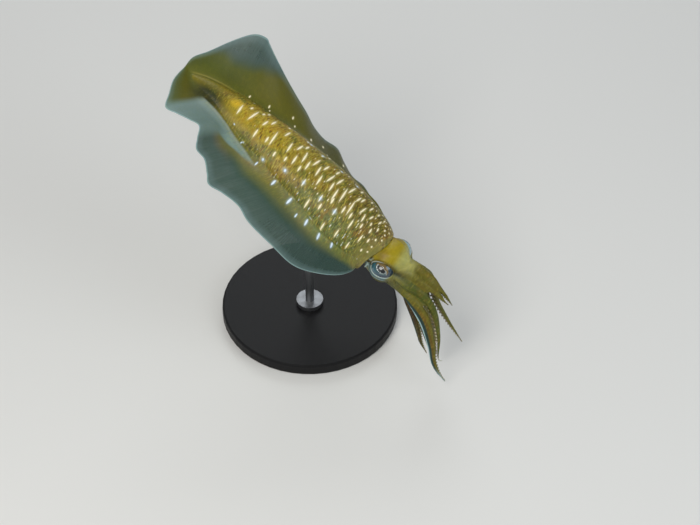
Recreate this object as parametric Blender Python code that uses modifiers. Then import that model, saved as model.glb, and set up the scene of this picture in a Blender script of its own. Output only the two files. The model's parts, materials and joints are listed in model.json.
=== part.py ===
"""Life-size still model of a bigfin reef squid, held over the floor by a display stand.

The animal is built along its own axes, in millimetres: x runs from the tail tip to the arms, y to its left
and z to its back. An empty then tips it head down and lifts it until the hanging arms clear the floor.
"""

import math

import bmesh
import bpy
from mathutils import Matrix, Vector

MM = 0.001
GAP = 0.3

# Pose in the water: head down, with the back up, and the arms hanging
BODY_PITCH = math.radians(29.1)
FLOOR_CLEARANCE = 9.0

# Mantle, as (share of its length, half width)
MANTLE_LENGTH = 200.0
MANTLE_GIRTH = (
    (0.0, 1.8), (0.03, 5.0), (0.08, 8.8), (0.18, 13.6), (0.3, 19.2), (0.42, 23.6),
    (0.55, 27.0), (0.68, 29.3), (0.78, 29.6), (0.88, 27.6), (0.95, 25.0), (1.0, 22.6),
)
MANTLE_FLATNESS = 0.93
MANTLE_SIDES = 28
MANTLE_RINGS = 22
MANTLE_CROWDING = 1.15
LOBE_FROM = 0.8
MANTLE_LOBE = 4.0
MANTLE_NOTCH = 4.0
LIP_THICKNESS = 2.0
LIP_ROUNDING = (0.4, 0.97)
LIP_INNER_STEP = 0.6
CAVITY_END = 186.0
CAVITY_FLOOR = (17.6, 16.4)

# Head, as (x, half width, half height, height of its middle)
HEAD_SECTIONS = (
    (CAVITY_END + GAP, 15.0, 9.5, 2.0), (192.0, 16.4, 11.4, 3.0), (198.0, 18.2, 13.4, 4.2),
    (203.0, 20.0, 13.2, 4.2), (207.5, 20.8, 14.8, 5.6), (212.0, 19.4, 15.5, 6.8),
    (217.0, 18.4, 15.4, 7.2), (222.0, 17.5, 15.2, 7.0), (227.5, 16.4, 14.8, 6.6), (233.0, 15.4, 14.6, 6.2),
)
HEAD_SIDES = 28
HEAD_RINGS = 16
HEAD_FRONT = HEAD_SECTIONS[-1][0]

# Eyes
EYE_RADIUS = 9.5
EYE_X = 215.0
EYE_Y = 12.0
EYE_Z = 6.0
GAZE_UP = math.radians(42.0)
GAZE_FORWARD = math.radians(-4.0)
LID_RADIUS = 9.2
LID_THICKNESS = 1.5
LID_SINK = 0.7
LID_SIDES = (20, 6)
EYE_SIDES = (16, 10)

# Funnel under the neck, as (x, radius, height of its middle)
FUNNEL_SECTIONS = (
    (CAVITY_END + GAP, 3.8, -11.8), (196.0, 4.7, -13.4), (206.0, 4.7, -14.4), (217.0, 3.5, -14.8),
)
FUNNEL_BORE = 0.72
FUNNEL_FLATNESS = 0.9
FUNNEL_FLOOR = 0.4
FUNNEL_RIM_STEP = 0.3
FUNNEL_SIDES = 14

# Crown of arms round the mouth
CROWN_Z = 6.2
CROWN_RADIUS = 11.2
ARM_STEPS = 80
ARM_SIDES = 8
ARM_LENGTHS = {"root": (0.0, 0.5), "tip": (0.5, 1.0)}
TENTACLE_LENGTHS = {"stalk": (0.0, 0.62), "club": (0.62, 1.0)}
TENTACLE_RING = 6.0
TENTACLE_ANGLE = 135.0
STALK_RADIUS = 1.3
CLUB_RADIUS = 2.2
CLUB_PROFILE = ((0.0, STALK_RADIUS), (0.35, CLUB_RADIUS), (0.7, 1.54), (1.0, 0.4))

# Lips round the beak, each profile as (height, share of the radius)
MOUTH_RADIUS = 4.2
MOUTH_PROFILE = ((0.0, 0.85), (1.2, 1.0), (2.8, 0.85), (3.6, 0.55), (2.6, 0.42))
MOUTH_SIDES = 14
BEAK_RADIUS = 1.5
BEAK_FLATNESS = 0.8
BEAK_PROFILE = ((0.0, 0.9), (0.8, 0.8), (1.8, 0.3))
BEAK_SIDES = 10

# Suckers in two rows along each arm, and in four on each club
SUCKER_SIDES = 5
SUCKER_ROW_ANGLES = (-30.0, 30.0)
SUCKER_START = 0.17
SUCKER_END = 0.96
SUCKER_RADIUS = 1.2
SUCKER_TIP_RADIUS = 0.4
SUCKER_HEIGHT = 0.9
SUCKER_ROOT = 0.85
SUCKER_SEAT = 0.9
SUCKER_WAIST = 0.65
SUCKER_SINK = 0.5
SUCKER_CUP = (0.4, 0.12)
SUCKER_CROWDING = 1.15
SUCKERS_ON_ARM = {1: 14, 2: 18, 3: 20, 4: 18}
CLUB_ROW_ANGLES = (-54.0, 18.0, -18.0, 54.0)
CLUB_BARE_ENDS = (0.05, 0.03)
CLUB_SUCKER_RADIUS = 0.75
SUCKERS_ON_CLUB = 16

# Each pair of arms: angle round the crown from the back in degrees, root radius, height of the outer ridge
ARM_PAIRS = {1: (22.5, 4.0, 0.0), 2: (67.5, 3.9, 0.4), 3: (112.5, 4.3, 3.6), 4: (157.5, 3.9, 1.5)}
TIP_SHARE = 0.13
ARM_TAPER = 0.8
ORAL_FLATNESS = 0.14
RIDGE_SHARPNESS = 8
RIDGE_PROFILE = ((0.05, 0.0), (0.3, 1.0), (0.6, 0.9), (0.85, 0.6), (1.0, 0.1))
LIMB_RINGS = 10
TIP_CROWDING = 1.35
STRAIGHT_START = 6.0

# Where each arm and tentacle goes from its root on the crown, then how far its suckers turn round it
LIMB_PATHS = {
    "arm_left_1": ((
        (248, 4.8, 18.0), (256.5, 5.6, 14.8), (264.5, 7.2, 11.0), (270.2, 8.9, 7.3), (274.8, 10, 4.2),
    ), 0.0),
    "arm_right_1": (((248, -3.4, 17.0), (256, -1.0, 15.4), (263.5, 1.4, 12.2), (272.2, 4.4, 8.6)), 0.0),
    "arm_left_2": ((
        (243, 12, 9.4), (251, 12.8, 4.2), (259.3, 11.6, -4.6), (279.7, 11.5, -15.8),
        (301.5, 12, -24.5),
    ), 0.0),
    "arm_right_2": ((
        (247, -7.8, 10.6), (256, -6, 8.6), (264, -5.6, 4.4), (271.7, -6, -1.9), (279.6, -6.5, -10.7),
        (286.5, -7, -19.8), (292.4, -7.8, -29.4), (295.6, -8, -34.4), (298.2, -7.6, -36.8),
        (300.2, -6.6, -35.6),
    ), -110.0),
    "arm_left_3": ((
        (247, 9.6, -2.6), (261, 8.4, -15.5), (274.6, 7, -28), (287.3, 6, -44), (293.5, 6, -51.5),
    ), 0.0),
    "arm_right_3": ((
        (246, -11.0, 2.4), (263.4, -10.8, -2.4), (284.2, -11.8, -20.8), (298.6, -12.7, -38.0),
        (306.2, -12.5, -43.3), (313.5, -12, -46.5),
    ), 0.0),
    "arm_left_4": ((
        (245, 3.8, -8.4), (259.5, 2.6, -24.4), (273.1, 2.6, -37), (285.8, 2, -48), (292, 1.5, -54),
    ), 0.0),
    "arm_right_4": ((
        (246, -4.9, -9.5), (259.7, -6, -19), (269.6, -6.5, -28.4), (278, -6.3, -38),
        (287.5, -4.5, -46.5),
    ), 0.0),
    "tentacle_left": (((245, 3.8, -0.6), (258, 3.0, -10.2), (270, 2.8, -20.2), (287, 3, -36)), 0.0),
    "tentacle_right": (((245, -4.2, -1.5), (258, -3.4, -12.5), (270.6, -3, -24.5), (284, -2.5, -38)), 0.0),
}

# Fins, as rays: (x where the ray leaves the mantle, tip of the ray, rise of its middle over a straight line)
FIN_RAYS = {
    "left": (
        (-1.0, (-7.5, 0.3, 3.0), 0.0), (6.0, (-8.4, 12.0, 4.5), 0.0),
        (12.0, (-2.9, 24.0, 8.5), -1.0), (18.0, (3.9, 38.0, 17.5), -1.5),
        (24.0, (10.9, 48.0, 26.5), -2.0), (30.0, (16.2, 52.5, 30.5), -2.5),
        (36.0, (22.8, 55.0, 31.5), -2.5), (44.0, (27.6, 55.0, 29.0), -2.0),
        (54.0, (34.4, 54.5, 25.0), -1.5), (66.0, (44.7, 55.0, 18.0), -0.5),
        (78.0, (55.6, 56.0, 10.3), 0.5), (92.0, (71.5, 58.0, -0.7), 1.0),
        (104.0, (83.8, 59.0, -7.7), 1.0), (118.0, (97.0, 60.0, -16.6), 1.0),
        (130.0, (109.1, 60.0, -18.9), 1.0), (142.0, (122.5, 60.0, -16.0), 1.5),
        (152.0, (133.0, 57.5, -19.6), 1.5), (164.0, (147.5, 53.0, -20.2), 1.0),
        (172.0, (157.5, 48.5, -13.0), 0.5), (183.0, (172.5, 36.5, -3.6), 0.5),
        (197.0, (198.0, 25.2, -1.0), 0.0),
    ),
    "right": (
        (-1.0, (-7.5, -0.3, 3.0), 0.0), (5.0, (-6.6, -11.5, 7.0), 0.0),
        (10.0, (-4.8, -22.5, 10.3), -1.0), (16.0, (0.8, -36.0, 12.8), -1.0),
        (24.0, (7.0, -49.0, 14.2), 1.0), (32.0, (16.5, -49.8, 19.2), 2.0),
        (42.0, (27.5, -49.0, 23.8), 1.5), (49.0, (36.2, -49.0, 27.0), 1.0),
        (57.0, (41.6, -53.3, 20.0), 1.5), (65.0, (47.0, -57.2, 13.3), 2.0),
        (73.0, (56.6, -58.5, 12.6), 2.0), (82.0, (65.5, -62.5, 7.0), 1.5),
        (91.0, (72.0, -65.6, 2.3), 1.5), (101.0, (84.0, -65.4, 6.0), 1.5),
        (116.0, (101.2, -64.0, 6.2), 1.5), (127.0, (113.5, -66.0, 3.0), 1.5),
        (143.0, (140.4, -64.0, -1.4), 1.5), (158.0, (161.8, -59.5, -7.3), 1.0),
        (173.0, (179.4, -50.0, -6.9), 0.5), (188.0, (195.3, -36.0, -2.9), 0.0),
        (197.0, (200.9, -25.2, 0.5), 0.0),
    ),
}
FIN_LENGTHS = {"rear": (-1.0, 92.0, 24), "front": (92.6, 197.0, 21)}
FIN_ROOT_ANGLE = math.radians(6.0)
FIN_ROOT_THICKNESS = 3.2
FIN_EDGE_THICKNESS = 0.8
TAIL_THINNING = 0.15
FIN_THICK_FROM = 25.0
FIN_SINK = 2.0
FIN_MIDLINE = 1.2
FIN_FALL_OFF = 0.6
FIN_ROWS = 6

# Display stand
BASE_RADIUS = 72.0
BASE_THICKNESS = 10.0
BASE_BEVEL = 1.5
BASE_SIDES = 48
ROD_RADIUS = 3.5
ROD_STATION = 128.0
ROD_FOOT_RADIUS = 11.0
ROD_FOOT_HEIGHT = 4.0
ROD_SIDES = 20
SHARP_ANGLE = math.radians(40)

# Colours from the photograph, with roughness and metallic value
PAINTS = {
    "mantle": ((0.42, 0.31, 0.05), 0.35, 0.0),
    "fin": ((0.12, 0.2, 0.12), 0.35, 0.0),
    "head": ((0.4, 0.34, 0.07), 0.35, 0.0),
    "arm": ((0.3, 0.25, 0.05), 0.4, 0.0),
    "eye": ((0.16, 0.3, 0.34), 0.15, 0.3),
    "beak": ((0.05, 0.02, 0.01), 0.3, 0.0),
    "stand_base": ((0.02, 0.02, 0.022), 0.45, 0.0),
    "stand_rod": ((0.6, 0.61, 0.62), 0.3, 1.0),
}


def smooth(stations, x):
    """The value at x of a smooth curve through (place, value) stations, level past its ends."""
    places = [place for place, value in stations]
    values = [value for place, value in stations]
    last = len(places) - 1
    if x <= places[0]:
        return values[0]
    if x >= places[last]:
        return values[last]
    i = max(k for k in range(last) if places[k] <= x)

    def chord(k):
        return (values[k + 1] - values[k]) * (1 / (places[k + 1] - places[k]))

    def slope(k):
        if k == 0:
            return chord(0)
        if k == last:
            return chord(last - 1)
        before, after = places[k] - places[k - 1], places[k + 1] - places[k]
        return (chord(k - 1) * after + chord(k) * before) * (1 / (before + after))

    span = places[i + 1] - places[i]
    t = (x - places[i]) / span
    return (
        values[i] * (2 * t**3 - 3 * t**2 + 1)
        + slope(i) * (span * (t**3 - 2 * t**2 + t))
        + values[i + 1] * (3 * t**2 - 2 * t**3)
        + slope(i + 1) * (span * (t**3 - t**2))
    )


def half_width(x):
    return smooth(MANTLE_GIRTH, x / MANTLE_LENGTH)


def lip_reach(angle):
    """How far the mantle's edge stands ahead of its length: a lobe on the back, cut away underneath."""
    up = math.sin(angle)
    return MANTLE_LOBE * max(up, 0.0) ** 3 - MANTLE_NOTCH * max(-up, 0.0) ** 2


def mantle_point(x, angle, swell=0.0):
    """A point on the mantle, with angle 0 at its left side and a quarter turn at its back."""
    lead = max(0.0, (x / MANTLE_LENGTH - LOBE_FROM) / (1 - LOBE_FROM)) ** 2
    width = half_width(x) + swell
    return Vector((
        x + lead * lip_reach(angle),
        width * math.cos(angle),
        (half_width(x) * MANTLE_FLATNESS + swell) * math.sin(angle),
    ))


def material(name):
    colour, roughness, metallic = PAINTS[name]
    found = bpy.data.materials.get(name)
    if found:
        return found
    made = bpy.data.materials.new(name)
    made.use_nodes = True
    shader = made.node_tree.nodes["Principled BSDF"]
    shader.inputs["Base Color"].default_value = (*colour, 1.0)
    shader.inputs["Roughness"].default_value = roughness
    shader.inputs["Metallic"].default_value = metallic
    return made


def collection(name):
    made = bpy.data.collections.new(name)
    bpy.context.scene.collection.children.link(made)
    return made


def add_object(name, mesh, paint, group, parent=None):
    made = bpy.data.objects.new(name, mesh)
    group.objects.link(made)
    made.parent = parent
    if paint:
        mesh.materials.append(material(paint))
        mesh.shade_smooth()
    return made


def mesh_from(bm, name):
    """The mesh of a shape built in millimetres, with its faces turned outwards."""
    bmesh.ops.recalc_face_normals(bm, faces=bm.faces)
    if bm.calc_volume(signed=True) < 0:
        bmesh.ops.reverse_faces(bm, faces=bm.faces)
    bm.transform(Matrix.Scale(MM, 4))
    mesh = bpy.data.meshes.new(name)
    bm.to_mesh(mesh)
    bm.free()
    return mesh


def loft(name, rings):
    """A closed mesh through rings of points, each ring in millimetres, with its ends filled."""
    bm = bmesh.new()
    loops = [[bm.verts.new(point) for point in ring] for ring in rings]
    sides = len(rings[0])
    for first, second in zip(loops, loops[1:]):
        for k in range(sides):
            n = (k + 1) % sides
            bm.faces.new((first[k], first[n], second[n], second[k]))
    for end in (loops[0], loops[-1]):
        middle = bm.verts.new(sum((v.co for v in end), Vector()) / sides)
        for k in range(sides):
            bm.faces.new((middle, end[k], end[(k + 1) % sides]))
    return mesh_from(bm, name)


def angles(sides):
    return [2 * math.pi * k / sides for k in range(sides)]


def helper(made):
    made.hide_render = True
    made.display_type = "WIRE"
    return made


def boolean(made, other, operation="DIFFERENCE"):
    modifier = made.modifiers.new(operation.lower(), "BOOLEAN")
    modifier.operation = operation
    modifier.solver = "EXACT"
    modifier.object = other


def mantle_stations():
    """Places of the mantle's sections, nearer to each other at its front."""
    return [
        MANTLE_LENGTH * (1 - (1 - k / MANTLE_RINGS) ** MANTLE_CROWDING)
        for k in range(MANTLE_RINGS + 1)
    ]


def make_mantle(group, body):
    """The mantle: a tapering tube with a thin lip, whose mouth takes the neck and the funnel."""
    rings = []
    for x in mantle_stations():
        rings.append([mantle_point(x, a) for a in angles(MANTLE_SIDES)])
    lip = rings[-1]
    bulge, inset = LIP_ROUNDING
    rings.append([Vector((p.x + bulge, p.y * inset, p.z * inset)) for p in lip])
    inside = 1 - LIP_THICKNESS / half_width(MANTLE_LENGTH)
    rings.append([Vector((p.x - LIP_INNER_STEP, p.y * inside, p.z * inside)) for p in lip])
    wide, high = CAVITY_FLOOR
    rings.append([
        Vector((CAVITY_END, wide * math.cos(a), high * math.sin(a))) for a in angles(MANTLE_SIDES)
    ])
    return add_object("mantle", loft("mantle", rings), "mantle", group, body)


def make_mantle_cutter(group, body):
    """The mantle made fuller by the gap, which trims the fins' roots and the rod's top."""
    rings = []
    for x in mantle_stations():
        rings.append([mantle_point(x, a, GAP) for a in angles(MANTLE_SIDES)])
    rings[0] = [p - Vector((GAP, 0, 0)) for p in rings[0]]
    rings[-1] = [p + Vector((GAP, 0, 0)) for p in rings[-1]]
    made = add_object("mantle_cutter", loft("mantle_cutter", rings), None, group, body)
    return helper(made)


def fin_tables(side):
    """The fin's stations, each a (place, value) list: the rays' tips and the arch near the root."""
    rays = FIN_RAYS[side]
    tips = [(x, Vector(tip)) for x, tip, arch in rays]
    arches = [(x, arch) for x, tip, arch in rays]
    return tips, arches


def fin_point(side, tables, x, v):
    """A point of the fin's middle surface on the ray that leaves the mantle at x, from root 0 to edge 1."""
    tips, arches = tables
    sign = 1 if side == "left" else -1
    out = max(half_width(x) - FIN_SINK, FIN_MIDLINE)
    root = Vector((
        x,
        sign * out * math.cos(FIN_ROOT_ANGLE),
        out * MANTLE_FLATNESS * math.sin(FIN_ROOT_ANGLE),
    ))
    point = root.lerp(smooth(tips, x), v)
    point.z += smooth(arches, x) * math.sin(math.pi * v)
    return point


def make_fin(side, length, cutter, group, body):
    """One length of a fin: a triangulated grid given thickness, then trimmed where it meets the mantle."""
    start, end, columns = FIN_LENGTHS[length]
    tables = fin_tables(side)
    name = f"fin_{side}_{length}"
    bm = bmesh.new()
    bmesh.ops.create_grid(bm, x_segments=columns, y_segments=FIN_ROWS, size=0.5)
    grid = {}
    for vert in bm.verts:
        u, v = vert.co.x + 0.5, vert.co.y + 0.5
        x = start + (end - start) * u
        grid[vert.index] = (1 - v**FIN_FALL_OFF) * min(1.0, TAIL_THINNING + x / FIN_THICK_FROM)
        vert.co = fin_point(side, tables, x, v)
    bmesh.ops.triangulate(bm, faces=bm.faces)
    mesh = mesh_from(bm, name)
    made = add_object(name, mesh, "fin", group, body)
    weights = made.vertex_groups.new(name="thickness")
    for index, weight in grid.items():
        weights.add([index], weight, "REPLACE")
    solid = made.modifiers.new("thickness", "SOLIDIFY")
    solid.thickness = FIN_ROOT_THICKNESS * MM
    solid.offset = 0.0
    solid.vertex_group = "thickness"
    solid.thickness_vertex_group = FIN_EDGE_THICKNESS / FIN_ROOT_THICKNESS
    boolean(made, cutter)
    return made


def section(x, wide, high, middle, sides):
    return [
        Vector((x, wide * math.cos(a), middle + high * math.sin(a))) for a in angles(sides)
    ]


def eye_centre(sign):
    return Vector((EYE_X, sign * EYE_Y, EYE_Z))


def gaze(sign):
    flat = math.cos(GAZE_UP)
    return Vector((
        flat * math.sin(GAZE_FORWARD), sign * flat * math.cos(GAZE_FORWARD), math.sin(GAZE_UP)
    ))


def facing(direction):
    return direction.to_track_quat("Z", "Y").to_matrix().to_4x4()


def sphere_mesh(name, centre, radius, segments, rings, direction=Vector((0, 0, 1))):
    bm = bmesh.new()
    bmesh.ops.create_uvsphere(bm, u_segments=segments, v_segments=rings, radius=radius)
    bm.transform(Matrix.Translation(centre) @ facing(direction))
    return mesh_from(bm, name)


def make_head(group, helpers, body):
    """The head, from the neck inside the mantle's mouth to the flat front that carries the arms."""
    start = HEAD_SECTIONS[0][0]
    rings = []
    for k in range(HEAD_RINGS + 1):
        x = start + (HEAD_FRONT - start) * k / HEAD_RINGS
        wide, high, middle = (smooth([(s[0], s[n]) for s in HEAD_SECTIONS], x) for n in (1, 2, 3))
        rings.append(section(x, wide, high, middle, HEAD_SIDES))
    head = add_object("head", loft("head", rings), "head", group, body)
    for sign, side in ((1, "left"), (-1, "right")):
        centre = eye_centre(sign)
        lid = make_lid(side, centre, gaze(sign), helpers, body)
        boolean(head, lid, "UNION")
        socket = add_object(
            f"socket_{side}", sphere_mesh(f"socket_{side}", centre, EYE_RADIUS + GAP, *EYE_SIDES, gaze(sign)),
            None, helpers, body,
        )
        boolean(head, helper(socket))
    return head


def make_lid(side, centre, direction, helpers, body):
    """The rim of skin round the eye, sunk in the head."""
    around, across = LID_SIDES
    bm = bmesh.new()
    loops = []
    for a in angles(around):
        axis = Vector((math.cos(a), math.sin(a), 0))
        loops.append([
            bm.verts.new(
                axis * (LID_RADIUS + LID_THICKNESS * math.cos(b))
                + Vector((0, 0, LID_THICKNESS * (math.sin(b) - LID_SINK)))
            )
            for b in angles(across)
        ])
    for first, second in zip(loops, loops[1:] + loops[:1]):
        for k in range(across):
            n = (k + 1) % across
            bm.faces.new((first[k], first[n], second[n], second[k]))
    bm.transform(Matrix.Translation(centre) @ facing(direction))
    made = add_object(f"lid_{side}", mesh_from(bm, f"lid_{side}"), None, helpers, body)
    return helper(made)


def make_eye(sign, side, group, body):
    name = f"eye_{side}"
    mesh = sphere_mesh(name, eye_centre(sign), EYE_RADIUS, *EYE_SIDES, gaze(sign))
    return add_object(name, mesh, "eye", group, body)


def make_funnel(group, body):
    """The funnel under the neck: a short tube, open at its front."""
    def ring(x, r, z):
        return section(x, r, r * FUNNEL_FLATNESS, z, FUNNEL_SIDES)

    rings = [ring(x, r, z) for x, r, z in FUNNEL_SECTIONS]
    x, r, z = FUNNEL_SECTIONS[-1]
    rings.append(ring(x - FUNNEL_RIM_STEP, r * FUNNEL_BORE, z))
    x, r, z = FUNNEL_SECTIONS[-2]
    rings.append(ring(x, r * FUNNEL_FLOOR, z))
    return add_object("funnel", loft("funnel", rings), "head", group, body)


def make_mouth(group, body):
    """The lips round the beak, in the middle of the crown, and the beak's tip."""
    x = HEAD_FRONT + GAP
    rings = [
        section(x + rise, MOUTH_RADIUS * share, MOUTH_RADIUS * share, CROWN_Z, MOUTH_SIDES)
        for rise, share in MOUTH_PROFILE
    ]
    add_object("mouth", loft("mouth", rings), "head", group, body)
    x += MOUTH_PROFILE[-1][0] + GAP
    rings = [
        section(x + rise, BEAK_RADIUS * share, BEAK_RADIUS * BEAK_FLATNESS * share, CROWN_Z, BEAK_SIDES)
        for rise, share in BEAK_PROFILE
    ]
    add_object("beak", loft("beak", rings), "beak", group, body)


def crown_place(sign, angle, radius):
    """A root on the crown, and the direction from there to the crown's middle."""
    turn = math.radians(angle)
    out = Vector((0, sign * math.sin(turn), math.cos(turn)))
    return Vector((HEAD_FRONT + GAP, 0, CROWN_Z)) + out * radius, -out


def limb_frames(name, root, inward):
    """Frames along an arm or tentacle: (place, direction, inward direction) at even steps from the root."""
    path, twist = LIMB_PATHS[name]
    stops = [root, root + Vector((STRAIGHT_START, 0, 0))] + [Vector(point) for point in path]
    stations = [(0.0, stops[0])]
    for before, after in zip(stops, stops[1:]):
        stations.append((stations[-1][0] + (after - before).length, after))
    length = stations[-1][0]
    places = [smooth(stations, length * k / ARM_STEPS) for k in range(ARM_STEPS + 1)]
    before = Vector((1, 0, 0))
    frames = []
    for k, place in enumerate(places):
        ahead = (places[min(k + 1, ARM_STEPS)] - places[max(k - 1, 0)]).normalized() if k else before
        inward = before.rotation_difference(ahead) @ inward
        share = k / ARM_STEPS
        turn = Matrix.Rotation(math.radians(twist) * min(1.0, share * 2), 3, ahead)
        frames.append((place, ahead, turn @ inward))
        before = ahead
    return frames, length


def frame_at(frames, share):
    k = share * ARM_STEPS
    low = min(int(k), ARM_STEPS - 1)
    first, second = frames[low], frames[low + 1]
    return tuple(a.lerp(b, k - low) for a, b in zip(first, second))


def arm_radius(share, root):
    return root * max(TIP_SHARE, (1 - share) ** ARM_TAPER)


def ridge_height(share, most):
    """The outer ridge of an arm, which rises past the root and dies away towards the tip."""
    return most * smooth(RIDGE_PROFILE, share)


def limb_ring(frame, radius, ridge):
    """One section of an arm: flat on its sucker side, with a ridge along its outer side."""
    place, ahead, inward = frame
    side = ahead.cross(inward).normalized()
    ring = []
    for a in angles(ARM_SIDES):
        flat = 1 - ORAL_FLATNESS * max(0.0, math.cos(a)) ** 2
        reach = radius * flat + ridge * max(0.0, -math.cos(a)) ** RIDGE_SHARPNESS
        ring.append(place + inward * (reach * math.cos(a)) + side * (radius * math.sin(a)))
    return ring


def make_limb(name, part, span, frames, length, radius, ridge, group, body):
    """One length of an arm or tentacle, from its frames and its radius and ridge along it."""
    start, end = span
    if start > 0:
        start += GAP / length
    rings = []
    for k in range(LIMB_RINGS + 1):
        crowding = TIP_CROWDING if end == 1 else 1.0
        share = start + (end - start) * (1 - (1 - k / LIMB_RINGS) ** crowding)
        rings.append(limb_ring(frame_at(frames, share), radius(share), ridge(share)))
    node = f"{name}_{part}"
    return add_object(node, loft(node, rings), "arm", group, body)


def sucker(frame, turn, reach, radius):
    """A small cup on a waist, rooted in the limb and turned this many degrees from its sucker side."""
    place, ahead, inward = frame
    out = Matrix.Rotation(math.radians(turn), 3, ahead) @ inward
    side = ahead.cross(out).normalized()
    root = reach * SUCKER_ROOT - SUCKER_SINK
    rim = reach * SUCKER_SEAT + SUCKER_HEIGHT * radius
    depth, floor = SUCKER_CUP
    rings = []
    for height, share in ((root, SUCKER_WAIST), (rim, 1.0), (rim - depth * radius, floor)):
        rings.append([
            place + out * height + (ahead * math.cos(a) + side * math.sin(a)) * radius * share
            for a in angles(SUCKER_SIDES)
        ])
    return loft("sucker", rings)


def sucker_places(count, start, end, rows):
    """Shares along the limb, nearer to each other towards the tip, each with the row it stands in."""
    shares = [
        start + (end - start) * (1 - (1 - k / (count - 1)) ** SUCKER_CROWDING)
        for k in range(count)
    ]
    return [(share, rows[k % len(rows)]) for k, share in enumerate(shares)]


def fuse(made, meshes):
    """Joins small meshes to an object by one union, and keeps the largest closed surface."""
    heap = collection("pieces")
    pieces = [add_object("piece", mesh, None, heap) for mesh in meshes]
    modifier = made.modifiers.new("union", "BOOLEAN")
    modifier.operation = "UNION"
    modifier.operand_type = "COLLECTION"
    modifier.collection = heap
    modifier.solver = "MANIFOLD"
    graph = bpy.context.evaluated_depsgraph_get()
    joined = bpy.data.meshes.new_from_object(made.evaluated_get(graph))
    made.modifiers.clear()
    made.data = joined
    for piece in pieces:
        bpy.data.objects.remove(piece)
    bpy.data.collections.remove(heap)
    keep_largest(joined)


def keep_largest(mesh):
    bm = bmesh.new()
    bm.from_mesh(mesh)
    left = set(bm.verts)
    surfaces = []
    while left:
        reached = [left.pop()]
        for vert in reached:
            for edge in vert.link_edges:
                other = edge.other_vert(vert)
                if other in left:
                    left.remove(other)
                    reached.append(other)
        surfaces.append(reached)
    surfaces.sort(key=len)
    for scrap in surfaces[:-1]:
        bmesh.ops.delete(bm, geom=scrap, context="VERTS")
    bm.to_mesh(mesh)
    bm.free()


def arm_suckers(pair, span, frames, length):
    """The suckers on one length of an arm, clear of where it meets the next."""
    thick = ARM_PAIRS[pair][1]
    start, end = span
    count = SUCKERS_ON_ARM[pair]
    meshes = []
    for share, turn in sucker_places(count, SUCKER_START, SUCKER_END, SUCKER_ROW_ANGLES):
        size = SUCKER_RADIUS + (SUCKER_TIP_RADIUS - SUCKER_RADIUS) * share
        margin = (size + GAP) / length
        if start + margin < share < (1.0 if end == 1 else end - margin):
            meshes.append(sucker(frame_at(frames, share), turn, arm_radius(share, thick), size))
    return meshes


def make_arms(side, sign, group, body):
    made = []
    for pair, (angle, thick, ridge) in ARM_PAIRS.items():
        root, inward = crown_place(sign, angle, CROWN_RADIUS)
        name = f"arm_{side}_{pair}"
        frames, length = limb_frames(name, root, inward)
        for part, span in ARM_LENGTHS.items():
            arm = make_limb(
                name, part, span, frames, length,
                lambda share: arm_radius(share, thick), lambda share: ridge_height(share, ridge),
                group, body,
            )
            fuse(arm, arm_suckers(pair, span, frames, length))
            made.append(arm)
    return made


def tentacle_radius(share):
    """A thin stalk, then a club that swells and ends in a point."""
    start = TENTACLE_LENGTHS["club"][0]
    if share < start:
        return STALK_RADIUS
    club = (share - start) / (1 - start)
    return smooth(CLUB_PROFILE, club)


def make_tentacle(side, sign, group, body):
    """A tentacle: a bare stalk, then a club with four rows of suckers."""
    root, inward = crown_place(sign, TENTACLE_ANGLE, TENTACLE_RING)
    name = f"tentacle_{side}"
    frames, length = limb_frames(name, root, inward)
    made = [
        make_limb(name, part, span, frames, length, tentacle_radius, lambda share: 0.0, group, body)
        for part, span in TENTACLE_LENGTHS.items()
    ]
    start, end = TENTACLE_LENGTHS["club"]
    bare_start, bare_end = CLUB_BARE_ENDS
    meshes = []
    for share, turn in sucker_places(
        SUCKERS_ON_CLUB, start + bare_start, end - bare_end, CLUB_ROW_ANGLES
    ):
        radius = tentacle_radius(share)
        size = CLUB_SUCKER_RADIUS * radius / CLUB_RADIUS
        meshes.append(sucker(frame_at(frames, share), turn, radius, size))
    fuse(made[-1], meshes)
    return made


def lowest_point(objects):
    """The lowest point of these objects once the body is pitched, in millimetres above the tail tip."""
    turn = Matrix.Rotation(BODY_PITCH, 3, "Y")
    return min((turn @ v.co).z for made in objects for v in made.data.vertices) / MM


def place_body(body, limbs):
    """Pitches the animal head down, with its balance over the stand and its arms clear of the floor."""
    body.rotation_euler = (0, BODY_PITCH, 0)
    over_rod = Matrix.Rotation(BODY_PITCH, 3, "Y") @ Vector((ROD_STATION, 0, 0))
    body.location = (-over_rod.x * MM, 0, (FLOOR_CLEARANCE - lowest_point(limbs)) * MM)


def cylinder_mesh(name, radius, bottom, top, sides):
    bm = bmesh.new()
    bmesh.ops.create_cone(
        bm, cap_ends=True, segments=sides, radius1=radius, radius2=radius, depth=top - bottom,
    )
    bmesh.ops.translate(bm, verts=bm.verts, vec=Vector((0, 0, (top + bottom) / 2)))
    return mesh_from(bm, name)


def make_stand(cutter, body, group, helpers):
    """A round base with one rod, whose top is shaped to the mantle's underside."""
    base = add_object(
        "stand_base", cylinder_mesh("stand_base", BASE_RADIUS, 0, BASE_THICKNESS, BASE_SIDES),
        "stand_base", group,
    )
    base.data.set_sharp_from_angle(angle=SHARP_ANGLE)
    bevel = base.modifiers.new("edge", "BEVEL")
    bevel.width = BASE_BEVEL * MM
    bevel.segments = 2
    bottom = BASE_THICKNESS + GAP
    top = body.location.z / MM - math.sin(BODY_PITCH) * ROD_STATION
    rod = add_object(
        "stand_rod", cylinder_mesh("stand_rod", ROD_RADIUS, bottom, top, ROD_SIDES),
        "stand_rod", group,
    )
    rod.data.set_sharp_from_angle(angle=SHARP_ANGLE)
    foot = add_object(
        "rod_foot",
        cylinder_mesh("rod_foot", ROD_FOOT_RADIUS, bottom, bottom + ROD_FOOT_HEIGHT, ROD_SIDES),
        None, helpers,
    )
    boolean(rod, helper(foot), "UNION")
    boolean(rod, cutter)


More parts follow.
